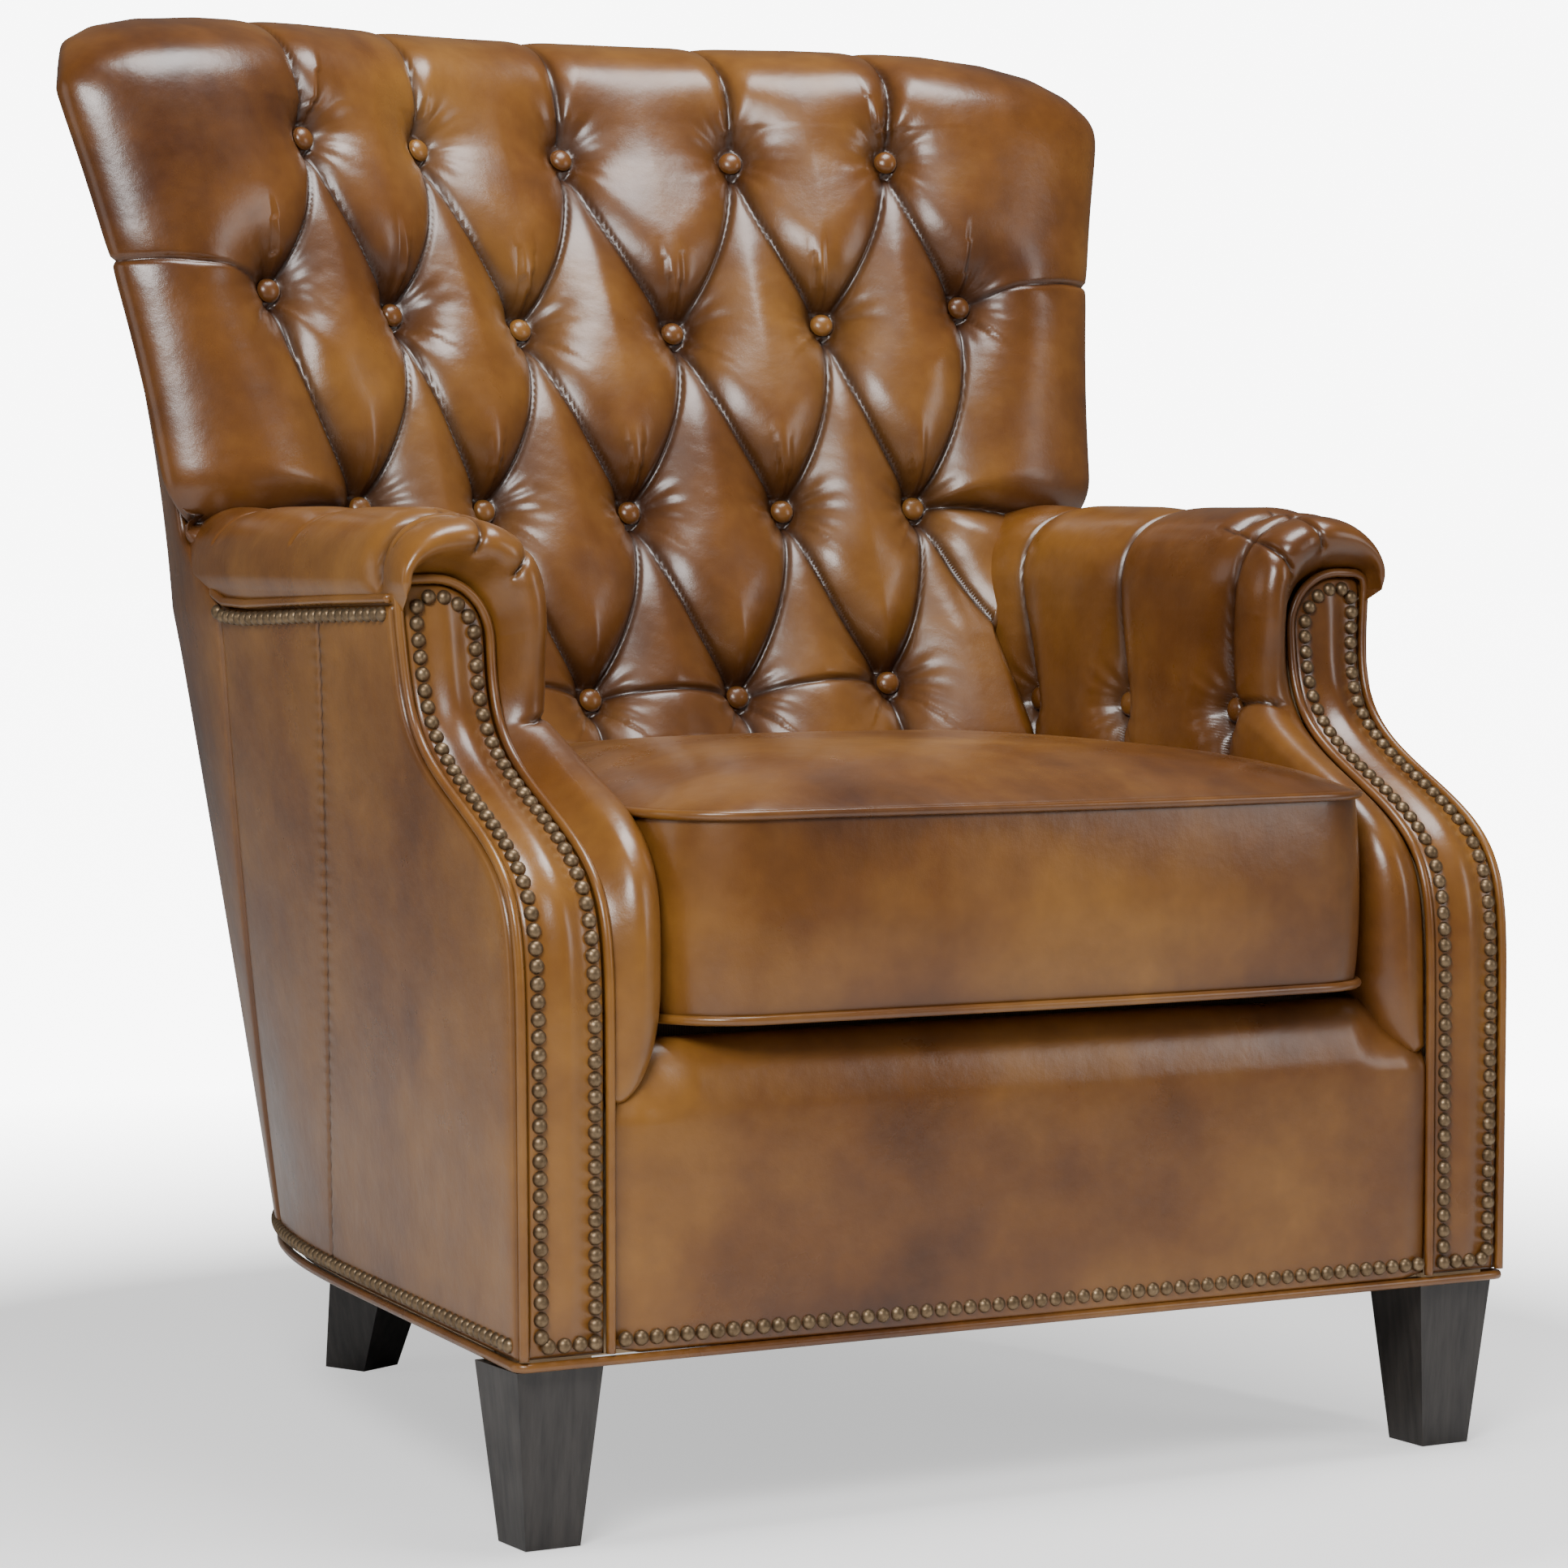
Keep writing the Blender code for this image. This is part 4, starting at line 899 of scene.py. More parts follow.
def inflate(piece, held, limit):
    """Swells a closed skin with cloth under pressure, held at some of its points, and keeps every
    point within limit of where it started."""
    mesh = piece.data
    start = np.zeros(len(mesh.vertices) * 3, np.float32)
    mesh.vertices.foreach_get("co", start)
    group = piece.vertex_groups.new(name="held")
    group.add(np.where(held)[0].tolist(), 1.0, "REPLACE")
    cloth = piece.modifiers.new("swell", "CLOTH")
    cloth.settings.vertex_group_mass = "held"
    cloth.settings.use_pressure = True
    cloth.settings.uniform_pressure_force = 3.0
    cloth.settings.quality = 5
    cloth.settings.tension_stiffness = 30
    cloth.settings.compression_stiffness = 30
    cloth.settings.bending_stiffness = 3
    cloth.settings.effector_weights.gravity = 0
    frames = 14
    cloth.point_cache.frame_start, cloth.point_cache.frame_end = 1, frames
    scene = bpy.context.scene
    for step in range(1, frames + 1):
        scene.frame_set(step)
    swollen = piece.evaluated_get(bpy.context.evaluated_depsgraph_get())
    moved = np.zeros_like(start)
    swollen.data.vertices.foreach_get("co", moved)
    piece.modifiers.remove(cloth)
    piece.vertex_groups.clear()
    scene.frame_set(1)
    step = (moved - start).reshape(-1, 3)
    size = np.linalg.norm(step, axis=1, keepdims=True)
    step *= limit * np.tanh(size / limit) / np.maximum(size, 1e-9)
    mesh.vertices.foreach_set("co", (start.reshape(-1, 3) + step).astype(np.float32).ravel())
    mesh.update()


# ------------------------------------------------------------------ trim
def welt_lines():
    """Every welt: its name, path, whether it closes on itself, the node it stands for and its body."""
    lines = []

    def add(node, path, closed, body="chair"):
        lines.append((f"{node}_cord", path, closed, node, body))

    for name, side in SIDES:
        x, z = panel_outline(-0.0036, 260).T
        add(f"arm_panel_welt_{name}", mirrored(on_arm_front(x, z, 0.001), side), False)
        y = np.linspace(0.160, 0.500, 90)
        z = arm_seam_z(y)
        path = np.stack([outside_x(y, z) - 0.0005 - 0.012 * smooth(y, 0.47, 0.50), y, z], 1)
        add(f"arm_seam_welt_{name}", mirrored(path, side), False)
    front = -0.0205
    sides = outside_loop(BASE_WELT_Z, front + 0.008, 420)
    corner = sides[0, 0]
    bend = [(corner - 0.0007, front + 0.0045), (corner - 0.003, front + 0.0012), (corner - 0.008, front)]
    left = [(x, y, BASE_WELT_Z) for x, y in bend]
    across = [(x, front, BASE_WELT_Z) for x in np.linspace(-corner + 0.014, corner - 0.014, 150)]
    right = [(-x, y, BASE_WELT_Z) for x, y in bend]
    add("base_welt", np.concatenate([sides, right, across, left[::-1]]), True)
    plan = cushion_plan(300)
    way = plan - (0.0, CUSHION_MIDDLE)
    plan = plan + way / np.linalg.norm(way, axis=1, keepdims=True) * 0.0006
    for name, z in (("top", CUSHION_WELT), ("bottom", CUSHION_BOTTOM_WELT)):
        path = np.column_stack([plan, np.full(len(plan), z)])
        path[:, 2] += 0.0008 * wobble(path, 0.12, 71)
        add(f"cushion_welt_{name}", path, True, "seat_cushion")
    return lines


def nail_lines(pitch):
    """Every run of nails: its name, seats, normals and the node it stands for."""
    runs = []
    low = LEATHER_LOW + 0.0085

    def add(node, line, ways):
        runs.append((f"{node}_heads", line, ways, node))

    def spaced(line, closed=False):
        length = np.linalg.norm(np.diff(line, axis=0), axis=1).sum()
        count = int(round(length / pitch))
        return resample(line, count + 1)[: count if closed else count + 1]

    for name, side in SIDES:
        x, z = panel_outline(0.0082, 400).T
        line = on_arm_front(x, z, 0.0022)
        line = spaced(np.concatenate([line, line[:1]]), closed=True)
        ny, nz = arm_front_normal(line[:, 2])
        ways = np.stack([np.zeros(len(line)), ny, nz], 1)
        add(f"arm_panel_nails_{name}", mirrored(line, side), ways)
        y = np.linspace(0.170, 0.462, 60)
        z = arm_seam_z(y) - 0.0105
        line = spaced(np.stack([outside_x(y, z) + 0.0008, y, z], 1))
        ways = np.tile((side, 0.0, 0.0), (len(line), 1))
        add(f"arm_seam_nails_{name}", mirrored(line, side), ways)
    edge = PANEL_INNER - 0.014
    line = spaced(np.array([(-edge, -0.0218, low), (edge, -0.0218, low)]))
    add("front_border_nails", line, np.tile((0.0, -1.0, 0.0), (len(line), 1)))
    loops = (("base_nails", low, -0.006), ("back_edge_nails", BACK_EDGE_Z - 0.009, 0.632))
    for node, z, start in loops:
        line = spaced(outside_loop(z, start, 900, -0.0010))
        ahead = np.gradient(line, axis=0)
        ways = np.stack([-ahead[:, 1], ahead[:, 0], np.zeros(len(line))], 1)
        if ways[len(line) // 2, 1] < 0:
            ways = -ways
        add(node, line, ways)
    return runs


# ------------------------------------------------------------------ finishes
class Finish:
    """One material being wired: its shader and short ways to add and join nodes."""

    def __init__(self, name, roughness, metallic=0.0):
        self.stuff = bpy.data.materials.new(name)
        self.stuff.use_nodes = True
        self.nodes = self.stuff.node_tree.nodes
        self.links = self.stuff.node_tree.links
        self.shader = self.nodes["Principled BSDF"]
        self.shader.inputs["Roughness"].default_value = roughness
        self.shader.inputs["Metallic"].default_value = metallic
        self.place = self.nodes.new("ShaderNodeTexCoord").outputs["Object"]

    def wire(self, source, target):
        self.links.new(source, target)

    def noise(self, scale, detail=3.0, rough=0.5, stretch=None):
        node = self.nodes.new("ShaderNodeTexNoise")
        node.inputs["Scale"].default_value = scale
        node.inputs["Detail"].default_value = detail
        node.inputs["Roughness"].default_value = rough
        self.wire(self.stretched(stretch), node.inputs["Vector"])
        return node.outputs["Fac"]

    def cells(self, scale, feature="DISTANCE_TO_EDGE"):
        node = self.nodes.new("ShaderNodeTexVoronoi")
        node.feature = feature
        node.inputs["Scale"].default_value = scale
        self.wire(self.place, node.inputs["Vector"])
        return node.outputs["Distance"]

    def stretched(self, stretch):
        if not stretch:
            return self.place
        node = self.nodes.new("ShaderNodeMapping")
        node.inputs["Scale"].default_value = stretch
        self.wire(self.place, node.inputs["Vector"])
        return node.outputs["Vector"]

    def ramp(self, source, stops):
        node = self.nodes.new("ShaderNodeValToRGB")
        while len(node.color_ramp.elements) < len(stops):
            node.color_ramp.elements.new(0.5)
        for element, (at, colour) in zip(node.color_ramp.elements, stops):
            element.position = at
            element.color = (*colour, 1) if len(colour) == 3 else (colour[0],) * 3 + (1,)
        self.wire(source, node.inputs["Fac"])
        return node.outputs["Color"]

    def blend(self, factor, a, b, mode="MIX"):
        node = self.nodes.new("ShaderNodeMix")
        node.data_type = "RGBA"
        node.blend_type = mode
        for socket, value in ((node.inputs["Factor"], factor), (node.inputs[6], a), (node.inputs[7], b)):
            if isinstance(value, bpy.types.NodeSocket):
                self.wire(value, socket)
            elif isinstance(value, (int, float)):
                socket.default_value = value
            else:
                socket.default_value = (*value, 1)
        return node.outputs[2]

    def sum(self, a, b, mode="MULTIPLY", clamp=False):
        node = self.nodes.new("ShaderNodeMath")
        node.operation = mode
        node.use_clamp = clamp
        for socket, value in zip(node.inputs, (a, b)):
            if isinstance(value, bpy.types.NodeSocket):
                self.wire(value, socket)
            else:
                socket.default_value = value
        return node.outputs[0]

    def mark(self, name):
        node = self.nodes.new("ShaderNodeAttribute")
        node.attribute_name = name
        return node.outputs["Fac"]

    def bump(self, height, strength, distance, below=None):
        node = self.nodes.new("ShaderNodeBump")
        node.inputs["Strength"].default_value = strength
        node.inputs["Distance"].default_value = distance
        self.wire(height, node.inputs["Height"])
        if below:
            self.wire(below, node.inputs["Normal"])
        return node.outputs["Normal"]

    def finish(self, colour, roughness=None, normal=None):
        self.wire(colour, self.shader.inputs["Base Color"])
        if roughness:
            self.wire(roughness, self.shader.inputs["Roughness"])
        if normal:
            self.wire(normal, self.shader.inputs["Normal"])
        return self.stuff


def leather(settings):
    """Pull-up leather: golden and red-brown clouds, with painted shade that darkens the recesses and the
    folds, a fine grain of small cells, soft creases and a waxy sheen."""
    f = Finish("cognac_leather", 0.42)
    light, body, deep = (tuple(c) for c in (settings.light, settings.body, settings.deep))
    clouds = f.noise(4.2, 5.0, 0.62)
    tone = f.ramp(clouds, ((0.30, deep), (0.47, body), (0.68, light)))
    mottle = f.noise(26.0, 4.0, 0.6)
    mottle = f.ramp(mottle, ((0.35, (0.48, 0.43, 0.40)), (0.70, (1.0, 1.0, 1.0))))
    tone = f.blend(0.30, tone, mottle, "MULTIPLY")
    # Painted shade: the colour is pulled towards the recess tone where the skin is pressed in, at pillowed
    # edges and beside welts and seams.
    painted_shade = f.sum(f.mark("painted_shade"), settings.painted_shade)
    tone = f.blend(painted_shade, tone, settings.shadow)
    # Painted shade: the colour is pulled towards the fold tone along the pleats' folds, round the buttons and
    # in the seam's groove.
    fold = f.sum(f.mark("painted_fold_shade"), 3.0, "POWER")
    tone = f.blend(f.sum(fold, 0.90), tone, settings.seam)
    f.shader.inputs["Coat Weight"].default_value = 0.30
    f.shader.inputs["Specular IOR Level"].default_value = 0.45
    f.shader.inputs["Coat Roughness"].default_value = 0.24
    smoother, rougher = settings.gloss - 0.07, settings.gloss + 0.11
    rough = f.ramp(f.noise(9.0, 5.0, 0.65), ((0.25, (smoother,)), (0.75, (rougher,))))
    rough = f.blend(f.sum(f.mark("painted_shade"), 0.25), rough, (0.55, 0.55, 0.55))
    grain = f.cells(settings.grain)
    pores = f.bump(f.ramp(grain, ((0.0, (0.0,)), (0.22, (1.0,)))), 0.05, 0.0003)
    fine = f.bump(f.noise(300.0, 3.0, 0.6), 0.04, 0.0005, pores)
    soft = f.bump(f.noise(38.0, 5.0, 0.55), 0.16, 0.0045, fine)
    return f.finish(tone, rough, soft)


def espresso_wood():
    """Espresso-stained wood: near black with a faint upright grain under a satin lacquer."""
    f = Finish("espresso_wood", 0.40)
    grain = f.noise(1.0, 6.0, 0.6, (170.0, 170.0, 9.0))
    tone = f.ramp(grain, ((0.30, (0.014, 0.012, 0.011)), (0.72, (0.042, 0.036, 0.032))))
    rough = f.ramp(f.noise(30.0, 3.0), ((0.3, (0.34,)), (0.7, (0.48,))))
    return f.finish(tone, rough, f.bump(grain, 0.14, 0.0006))


def raw_wood():
    """Unfinished frame timber: pale, with long growth rings."""
    f = Finish("raw_timber", 0.72)
    grain = f.noise(1.0, 5.0, 0.6, (9.0, 60.0, 60.0))
    tone = f.ramp(grain, ((0.3, (0.44, 0.29, 0.16)), (0.7, (0.66, 0.48, 0.29))))
    return f.finish(tone, None, f.bump(grain, 0.2, 0.0008))


def antique_brass():
    """Antiqued brass nails: dark bronze with worn, brighter spots."""
    f = Finish("antique_brass", 0.42, 0.85)
    wear = f.noise(150.0, 4.0, 0.65)
    stops = ((0.32, (0.115, 0.075, 0.040)), (0.60, (0.225, 0.155, 0.088)), (0.85, (0.36, 0.27, 0.165)))
    tone = f.ramp(wear, stops)
    rough = f.ramp(wear, ((0.3, (0.50,)), (0.8, (0.36,))))
    return f.finish(tone, rough, f.bump(f.noise(500.0, 2.0), 0.06, 0.0002))


def plain_metal(name, dark, bright, roughness):
    """Drawn or plated steel with faint scratches."""
    f = Finish(name, roughness, 1.0)
    wear = f.noise(220.0, 4.0, 0.6, (1.0, 0.2, 1.0))
    return f.finish(f.ramp(wear, ((0.3, dark), (0.75, bright))), None, f.bump(wear, 0.08, 0.0003))


def seat_foam():
    """Open-cell foam: a soft yellow full of pores."""
    f = Finish("seat_foam", 0.92)
    pores = f.cells(420.0, "F1")
    tone = f.ramp(pores, ((0.1, (0.62, 0.55, 0.36)), (0.6, (0.84, 0.77, 0.56))))
    return f.finish(tone, None, f.bump(pores, 0.5, 0.001))


def woven(name, dark, light, scale):
    """Plain woven cloth: two crossed wave sets, one for each way of the threads."""
    f = Finish(name, 0.9)
    waves = []
    for axis in ("X", "Y"):
        node = f.nodes.new("ShaderNodeTexWave")
        node.bands_direction = axis
        node.inputs["Scale"].default_value = scale
        node.inputs["Distortion"].default_value = 0.6
        f.wire(f.place, node.inputs["Vector"])
        waves.append(node.outputs["Fac"])
    cloth = f.sum(waves[0], waves[1], "MAXIMUM")
    return f.finish(f.ramp(cloth, ((0.2, dark), (0.9, light))), None, f.bump(cloth, 0.4, 0.0008))


# ------------------------------------------------------------------ settings and operators
def colour_of(label, text, default):
    """A colour setting."""
    limits = {"size": 3, "min": 0, "max": 1, "subtype": "COLOR"}
    return FloatVectorProperty(name=label, description=text, default=default, **limits)


def number_of(label, text, default, low=0.0, high=1.0, unit="NONE"):
    """A plain number setting, a share of one unless its limits are given."""
    limits = {"min": low, "max": high, "unit": unit}
    return FloatProperty(name=label, description=text, default=default, **limits)


def length_of(label, text, default, low, high):
    return number_of(label, text, default, low, high, "LENGTH")


def power_of(label, text, default):
    return number_of(label, text, default, 0.0, 1000.0, "POWER")


class LeatherSettings(bpy.types.PropertyGroup):
    light: colour_of("Light tone", "Colour where the leather is rubbed and pale", (0.268, 0.116, 0.021))
    body: colour_of("Body tone", "The leather's main colour", (0.150, 0.054, 0.0088))
    deep: colour_of("Deep tone", "Colour of the darker clouds", (0.068, 0.0205, 0.0042))
    # Painted shade: the recess tone and the fold tone are the colours that recesses, folds and grooves are
    # darkened towards, and Recess sets how strongly; they stand in for shade, not for wear.
    shadow: colour_of("Recess tone", "Colour worn into the recesses", (0.024, 0.0060, 0.0020))
    seam: colour_of("Fold tone", "Colour in the bottom of a fold", (0.018, 0.0060, 0.0030))
    painted_shade: number_of("Recess", "How strongly the recesses darken", 0.72)
    gloss: number_of("Roughness", "Middle roughness of the surface", 0.30)
    grain: number_of("Grain", "Grain cells for each metre", 620.0, 50.0, 3000.0)


class TuftSettings(bpy.types.PropertyGroup):
    rows: IntProperty(
        name="Rows", description="Rows of points up the back and over its roll", default=420, min=40, max=500
    )
    columns: IntProperty(
        name="Columns", description="Columns of points across the back", default=420, min=40, max=500
    )
    arm_density: number_of("Arm density", "Fineness of the arms' surfaces", 1.5, 0.2, 2.0)


class TrimSettings(bpy.types.PropertyGroup):
    welt: length_of("Welt radius", "Radius of the piping", 0.0033, 0.001, 0.01)
    nail: length_of("Nail radius", "Radius of a nail's head", 0.0053, 0.002, 0.02)
    pitch: length_of("Nail pitch", "Distance from one nail to the next", 0.01145, 0.005, 0.05)
    button: length_of("Button radius", "Radius of a covered button", 0.0092, 0.004, 0.03)


class StudioSettings(bpy.types.PropertyGroup):
    floor: colour_of("Floor", "Colour of the floor", (0.86, 0.86, 0.86))
    air: number_of("Air", "Strength of the light from all round", 0.14, 0.0, 10.0)
    key: power_of("Key light", "Power of the main light", 98.0)
    fill: power_of("Fill light", "Power of the fill light", 20.0)
    top: power_of("Top light", "Power of the light overhead", 62.0)
    side: power_of("Side light", "Power of the light at the chair's right", 12.0)
    lens: number_of("Lens", "Focal length of the camera", 110.9, 20.0, 300.0)


class ArmchairSettings(bpy.types.PropertyGroup):
    leather: PointerProperty(type=LeatherSettings, name="Leather", description="Colours and grain")
    tufting: PointerProperty(type=TuftSettings, name="Tufting", description="Fineness of the tufted surfaces")
    trim: PointerProperty(type=TrimSettings, name="Trim", description="Welts, nails and buttons")
    studio: PointerProperty(type=StudioSettings, name="Studio", description="Floor, lights and camera")


def leather_material():
    """The one leather that every cover shares, made the first time it is asked for."""
    return bpy.data.materials.get("cognac_leather") or leather(bpy.context.scene.armchair.leather)


def dress(piece, *nodes, body="chair", slot="leather"):
    """Rides a piece on its body, in place of the plain solids it stands for."""
    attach(piece, body)
    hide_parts(*nodes)
    return piece


def cover_buttons(name, seats, ways, radius):
    """Leather-covered buttons, which ride on the chair and stand for no solid of their own."""
    buttons = domes(name, seats, ways, radius, BUTTON_HEIGHT, leather_material(), 0.03, 20, 6)
    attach(buttons, "chair")


class ARMCHAIR_OT_back(bpy.types.Operator):
    """Tufts the inside back, with its roll, wings and buttons"""

    bl_idname = "armchair.back"
    bl_label = "Inside back"

    def execute(self, context):
        chosen = context.scene.armchair
        piece, seats, ways = build_back(leather_material(), chosen.tufting.rows, chosen.tufting.columns)
        dress(piece, "inside_back")
        cover_buttons("back_buttons", seats, ways, chosen.trim.button)
        return {"FINISHED"}


class ARMCHAIR_OT_arms(bpy.types.Operator):
    """Upholsters the two inside arms with their rolls and buttons"""

    bl_idname = "armchair.arms"
    bl_label = "Inside arms"

    def execute(self, context):
        chosen = context.scene.armchair
        for name, side in SIDES:
            piece, seats, ways = build_arm(name, side, leather_material(), chosen.tufting.arm_density)
            dress(piece, f"inside_arm_{name}")
            cover_buttons(f"arm_buttons_{name}", seats, ways, chosen.trim.button)
        return {"FINISHED"}


class ARMCHAIR_OT_cushion(bpy.types.Operator):
    """Makes the loose seat cushion's cover"""

    bl_idname = "armchair.cushion"
    bl_label = "Seat cushion"

    def execute(self, context):
        piece = build_cushion(leather_material())
        dress(piece, "cushion_band", "cushion_top", "cushion_bottom", body="seat_cushion")
        tape_stuff = woven("zip_tape", (0.035, 0.016, 0.008), (0.11, 0.055, 0.028), 700.0)
        tooth_stuff = plain_metal("zip_teeth", (0.16, 0.12, 0.07), (0.40, 0.32, 0.20), 0.40)
        tape, chain, pull = build_zip(tape_stuff, tooth_stuff)
        for piece in (tape, chain, pull):
            dress(piece, "cushion_zip", body="seat_cushion", slot="bolt_steel")
        return {"FINISHED"}


class ARMCHAIR_OT_covers(bpy.types.Operator):
    """Makes the flat leather: arm panels, front border, outside arms and outside back"""

    bl_idname = "armchair.covers"
    bl_label = "Flat covers"

    def execute(self, context):
        stuff = leather_material()
        for name, side in SIDES:
            dress(build_panel(name, side, stuff), f"arm_panel_{name}")
            dress(build_outside(side, name, stuff), f"outside_arm_{name}")
        dress(build_border(stuff), "front_border")
        dress(build_outside_back(stuff), "outside_back")
        return {"FINISHED"}


class ARMCHAIR_OT_welts(bpy.types.Operator):
    """Sews the piping round the panels, under the arms, round the base and round the cushion"""

    bl_idname = "armchair.welts"
    bl_label = "Welts"

    def execute(self, context):
        radius = context.scene.armchair.trim.welt
        for name, path, closed, node, body in welt_lines():
            dress(tube(name, path, radius, leather_material(), closed), node, body=body)
        return {"FINISHED"}


class ARMCHAIR_OT_nails(bpy.types.Operator):
    """Drives the rows of brass nails"""

    bl_idname = "armchair.nails"
    bl_label = "Nail heads"

    def execute(self, context):
        trim = context.scene.armchair.trim
        brass = antique_brass()
        for name, seats, ways, node in nail_lines(trim.pitch):
            heads = domes(name, seats, ways, trim.nail, NAIL_HEIGHT, brass, 0.0, 14, 5)
            dress(heads, node, slot="nail_brass")
        return {"FINISHED"}


class ARMCHAIR_OT_frame(bpy.types.Operator):
    """Finishes the frame's own parts: legs, rails, springs, bolts, foam and linings"""

    bl_idname = "armchair.frame"
    bl_label = "Frame finishes"

    def execute(self, context):
        finishes = {
            "leg_wood": espresso_wood(),
            "frame_wood": raw_wood(),
            "spring_steel": plain_metal("spring_wire", (0.16, 0.16, 0.17), (0.36, 0.36, 0.38), 0.38),
            "bolt_steel": plain_metal("zinc_plate", (0.42, 0.42, 0.44), (0.68, 0.68, 0.70), 0.34),
            "foam": seat_foam(),
            "deck_cloth": woven("deck_cloth", (0.05, 0.032, 0.022), (0.17, 0.11, 0.07), 260.0),
            "dust_cloth": woven("dust_cloth", (0.008, 0.008, 0.008), (0.03, 0.03, 0.03), 420.0),
            "leather": leather_material(),
            "nail_brass": bpy.data.materials["antique_brass"],
        }
        for part in frame["record"]["subparts"]:
            node = frame["nodes"][part["node"]]
            node.data.materials.clear()
            node.data.materials.append(finishes[part["material_slot"]])
        return {"FINISHED"}


class ARMCHAIR_OT_studio(bpy.types.Operator):
    """Sets up the pale floor, the soft lights and the camera"""

    bl_idname = "armchair.studio"
    bl_label = "Studio"

    def execute(self, context):
        chosen = context.scene.armchair.studio
        build_floor(chosen.floor)
        build_lights(chosen)
        build_camera(chosen.lens)
        return {"FINISHED"}


# ------------------------------------------------------------------ studio
def build_floor(colour):
    """A wide disc of floor in growing rings, which glows further out, to the camera only, so that it
    joins the bright air behind."""
    f = Finish("studio_floor", 0.62)
    tint = tuple(colour)
    tone = f.ramp(f.noise(0.7, 2.0), ((0.3, tuple(c * 0.985 for c in tint)), (0.7, tint)))
    apart = f.nodes.new("ShaderNodeVectorMath")
    apart.operation = "LENGTH"
    f.wire(f.place, apart.inputs[0])
    fade = f.sum(f.sum(apart.outputs["Value"], -0.75, "ADD"), 0.75, "MULTIPLY", True)
    glow = f.sum(f.ramp(fade, ((0.0, (0.09,)), (1.0, (1.0,)))), BACKDROP_GLOW)
    seen = f.nodes.new("ShaderNodeLightPath").outputs["Is Camera Ray"]
    f.shader.inputs["Emission Color"].default_value = (1, 1, 1, 1)
    f.wire(f.sum(glow, seen), f.shader.inputs["Emission Strength"])
    stuff = f.finish(tone)
    radius = np.array((0.05, 0.6, 1.5, 4.0, 12.0, 40.0))[:, None]
    rings, around, level = len(radius), 64, -0.0005
    turn = np.linspace(0, 2 * math.pi, around, endpoint=False)[None]
    points = [radius * np.cos(turn), radius * np.sin(turn), np.full((rings, around), level)]
    every = np.concatenate([np.stack(points, -1).reshape(-1, 3), [(0.0, 0.0, level)]])
    middle = fan(np.arange(around), rings * around)
    quads = facing(every, grid_faces(rings, around, True), (0, 0, -1))
    floor = put_mesh("studio_floor", every, [quads, middle], stuff)


def area_light(name, spot, aim, size, power):
    """A rectangular light at a spot, turned towards its aim."""
    lamp = bpy.data.lights.new(name, "AREA")
    lamp.shape = "RECTANGLE"
    lamp.size, lamp.size_y = size
    lamp.energy = power
    light = bpy.data.objects.new(name, lamp)
    bpy.context.scene.collection.objects.link(light)
    light.location = spot
    light.rotation_euler = (Vector(aim) - Vector(spot)).to_track_quat("-Z", "Y").to_euler()


def build_lights(chosen):
    """Even air that the camera sees as bright, a key from the left front, a fill from the right front,
    a bank of light overhead and a weak light from the left rear."""
    world = bpy.data.worlds.new("studio_air")
    bpy.context.scene.world = world
    world.use_nodes = True
    nodes, links = world.node_tree.nodes, world.node_tree.links
    air = nodes["Background"]
    air.inputs["Color"].default_value = (1.0, 1.0, 1.0, 1)
    strength = nodes.new("ShaderNodeMix")
    strength.inputs["A"].default_value = chosen.air
    strength.inputs["B"].default_value = BACKDROP_GLOW
    links.new(nodes.new("ShaderNodeLightPath").outputs["Is Camera Ray"], strength.inputs["Factor"])
    links.new(strength.outputs["Result"], air.inputs["Strength"])
    area_light("key_light", (-2.0, -2.3, 2.3), (0, 0, 0.6), (1.2, 1.0), chosen.key)
    area_light("fill_light", (2.3, -2.6, 1.5), (0, 0, 0.5), (0.9, 1.6), chosen.fill)
    area_light("top_light", (0.3, -0.5, 2.8), (0, 0, 0.5), (1.3, 0.9), chosen.top)
    area_light("side_light", (-3.0, 0.6, 1.1), (0, 0, 0.4), (1.6, 2.0), chosen.side)


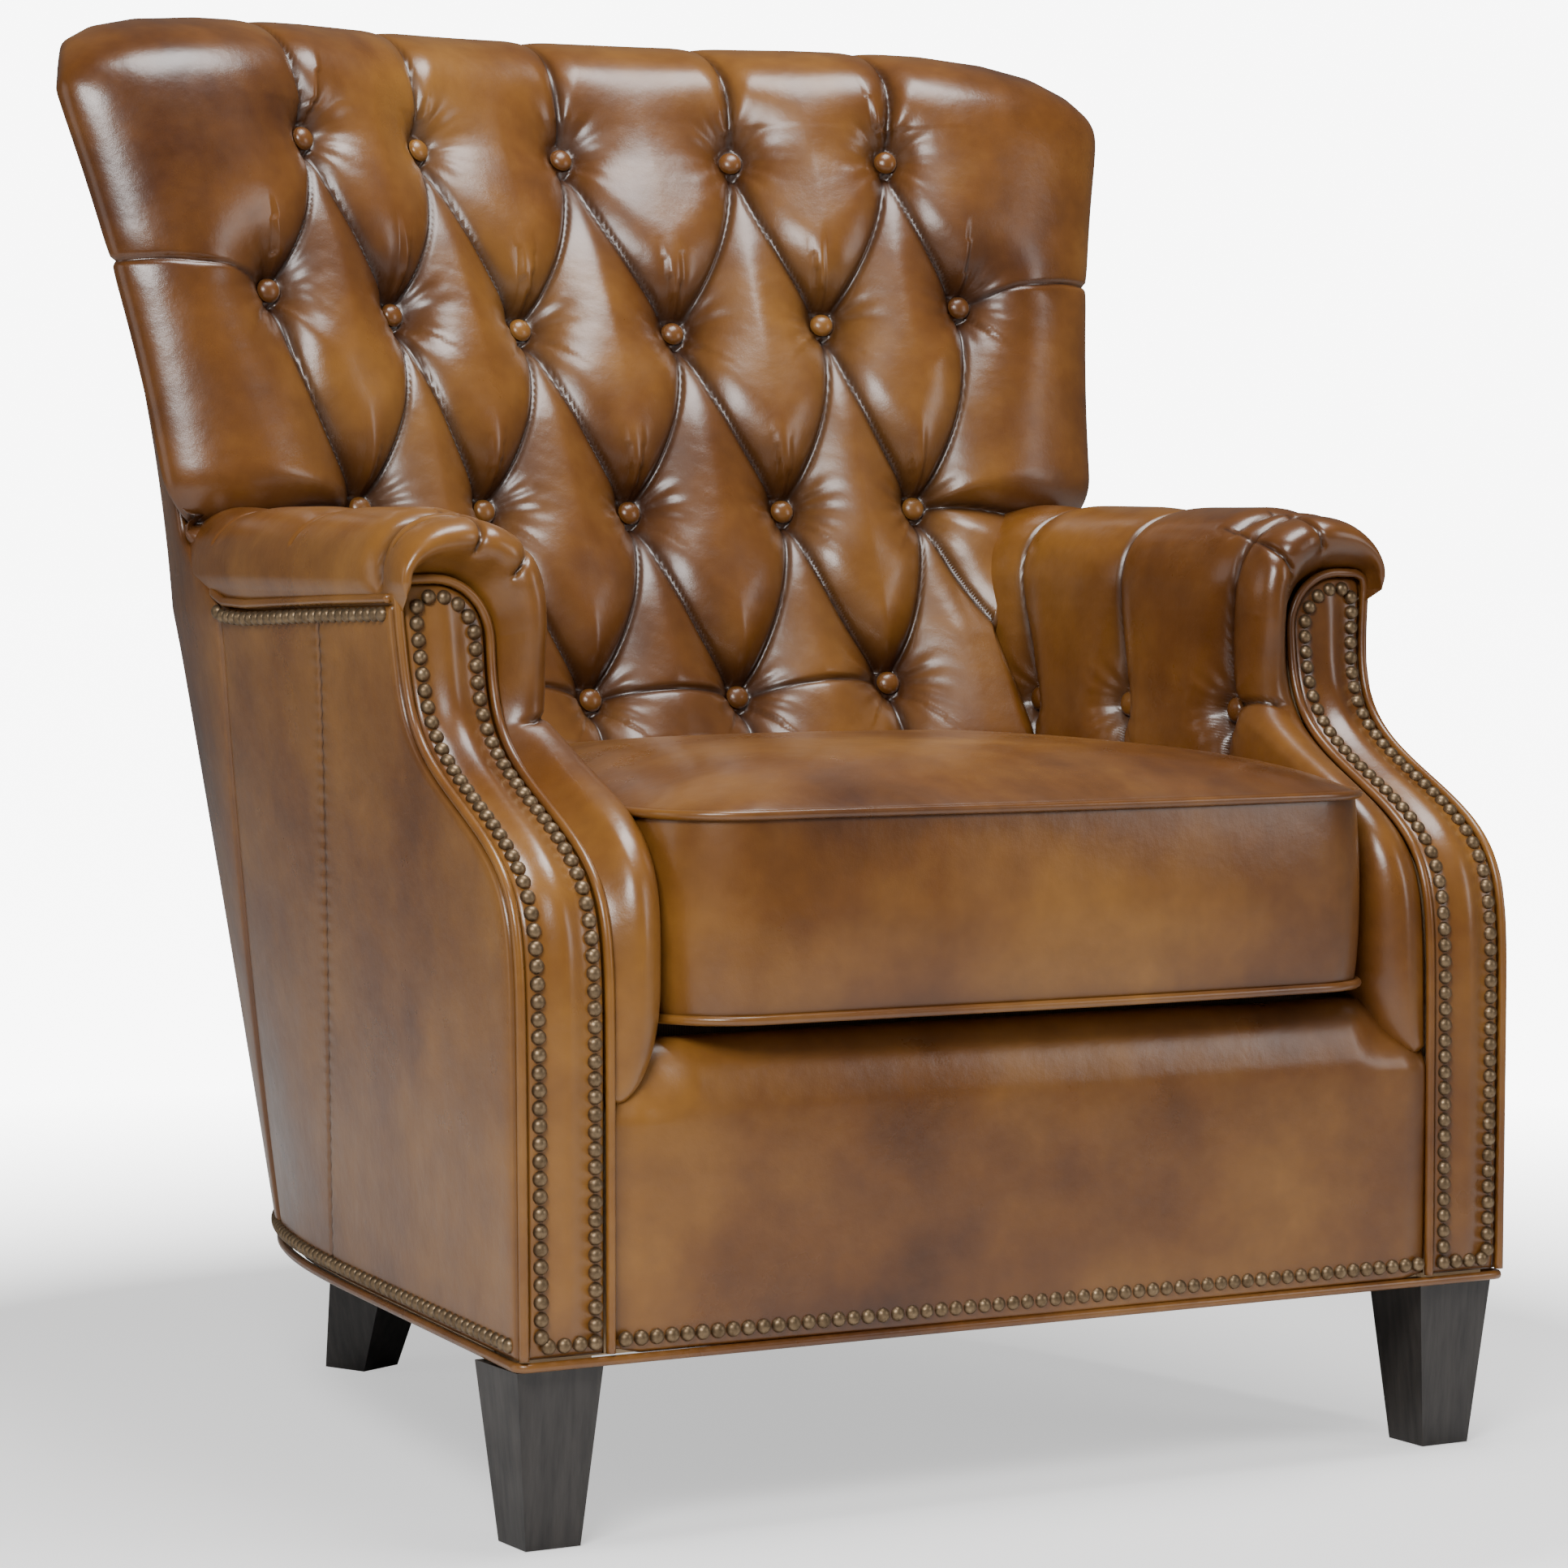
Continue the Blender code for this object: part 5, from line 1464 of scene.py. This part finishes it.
def build_camera(lens):
    """The camera: nearly level, and about 30 degrees round to the chair's right of straight ahead."""
    yaw, pitch, distance = math.radians(29.58), math.radians(3.15), 3.196
    way = Vector((math.sin(yaw) * math.cos(pitch), math.cos(yaw) * math.cos(pitch), -math.sin(pitch)))
    target = Vector((-0.1886, SHIFT_Y, 0.493))
    lens_data = bpy.data.cameras.new("studio_camera")
    lens_data.lens = lens
    lens_data.sensor_width = 36.0
    camera = bpy.data.objects.new("studio_camera", lens_data)
    bpy.context.scene.collection.objects.link(camera)
    camera.location = target - way * distance
    camera.rotation_euler = way.to_track_quat("-Z", "Y").to_euler()
    bpy.context.scene.camera = camera


class ARMCHAIR_PT_panel(bpy.types.Panel):
    """Lists the pieces of the armchair and their settings"""

    bl_idname = "ARMCHAIR_PT_panel"
    bl_label = "Armchair"
    bl_space_type = "VIEW_3D"
    bl_region_type = "UI"
    bl_category = "Armchair"

    def draw(self, context):
        chosen = context.scene.armchair
        for group in (chosen.leather, chosen.tufting, chosen.trim, chosen.studio):
            box = self.layout.box()
            for name in group.__annotations__:
                box.prop(group, name)
        for operator in OPERATORS:
            self.layout.operator(operator.bl_idname)


OPERATORS = (
    ARMCHAIR_OT_studio,
    ARMCHAIR_OT_covers,
    ARMCHAIR_OT_back,
    ARMCHAIR_OT_arms,
    ARMCHAIR_OT_cushion,
    ARMCHAIR_OT_welts,
    ARMCHAIR_OT_nails,
    ARMCHAIR_OT_frame,
)
GROUPS = (LeatherSettings, TuftSettings, TrimSettings, StudioSettings, ArmchairSettings)
CLASSES = (*GROUPS, *OPERATORS, ARMCHAIR_PT_panel)


def register():
    for item in CLASSES:
        bpy.utils.register_class(item)
    bpy.types.Scene.armchair = PointerProperty(type=ArmchairSettings)


def unregister():
    del bpy.types.Scene.armchair
    for item in reversed(CLASSES):
        bpy.utils.unregister_class(item)


def main():
    """Builds every piece."""
    register()
    bpy.ops.armchair.studio()
    bpy.ops.armchair.covers()
    bpy.ops.armchair.back()
    bpy.ops.armchair.arms()
    bpy.ops.armchair.cushion()
    bpy.ops.armchair.welts()
    bpy.ops.armchair.nails()
    bpy.ops.armchair.frame()


if __name__ == "__main__":
    main()
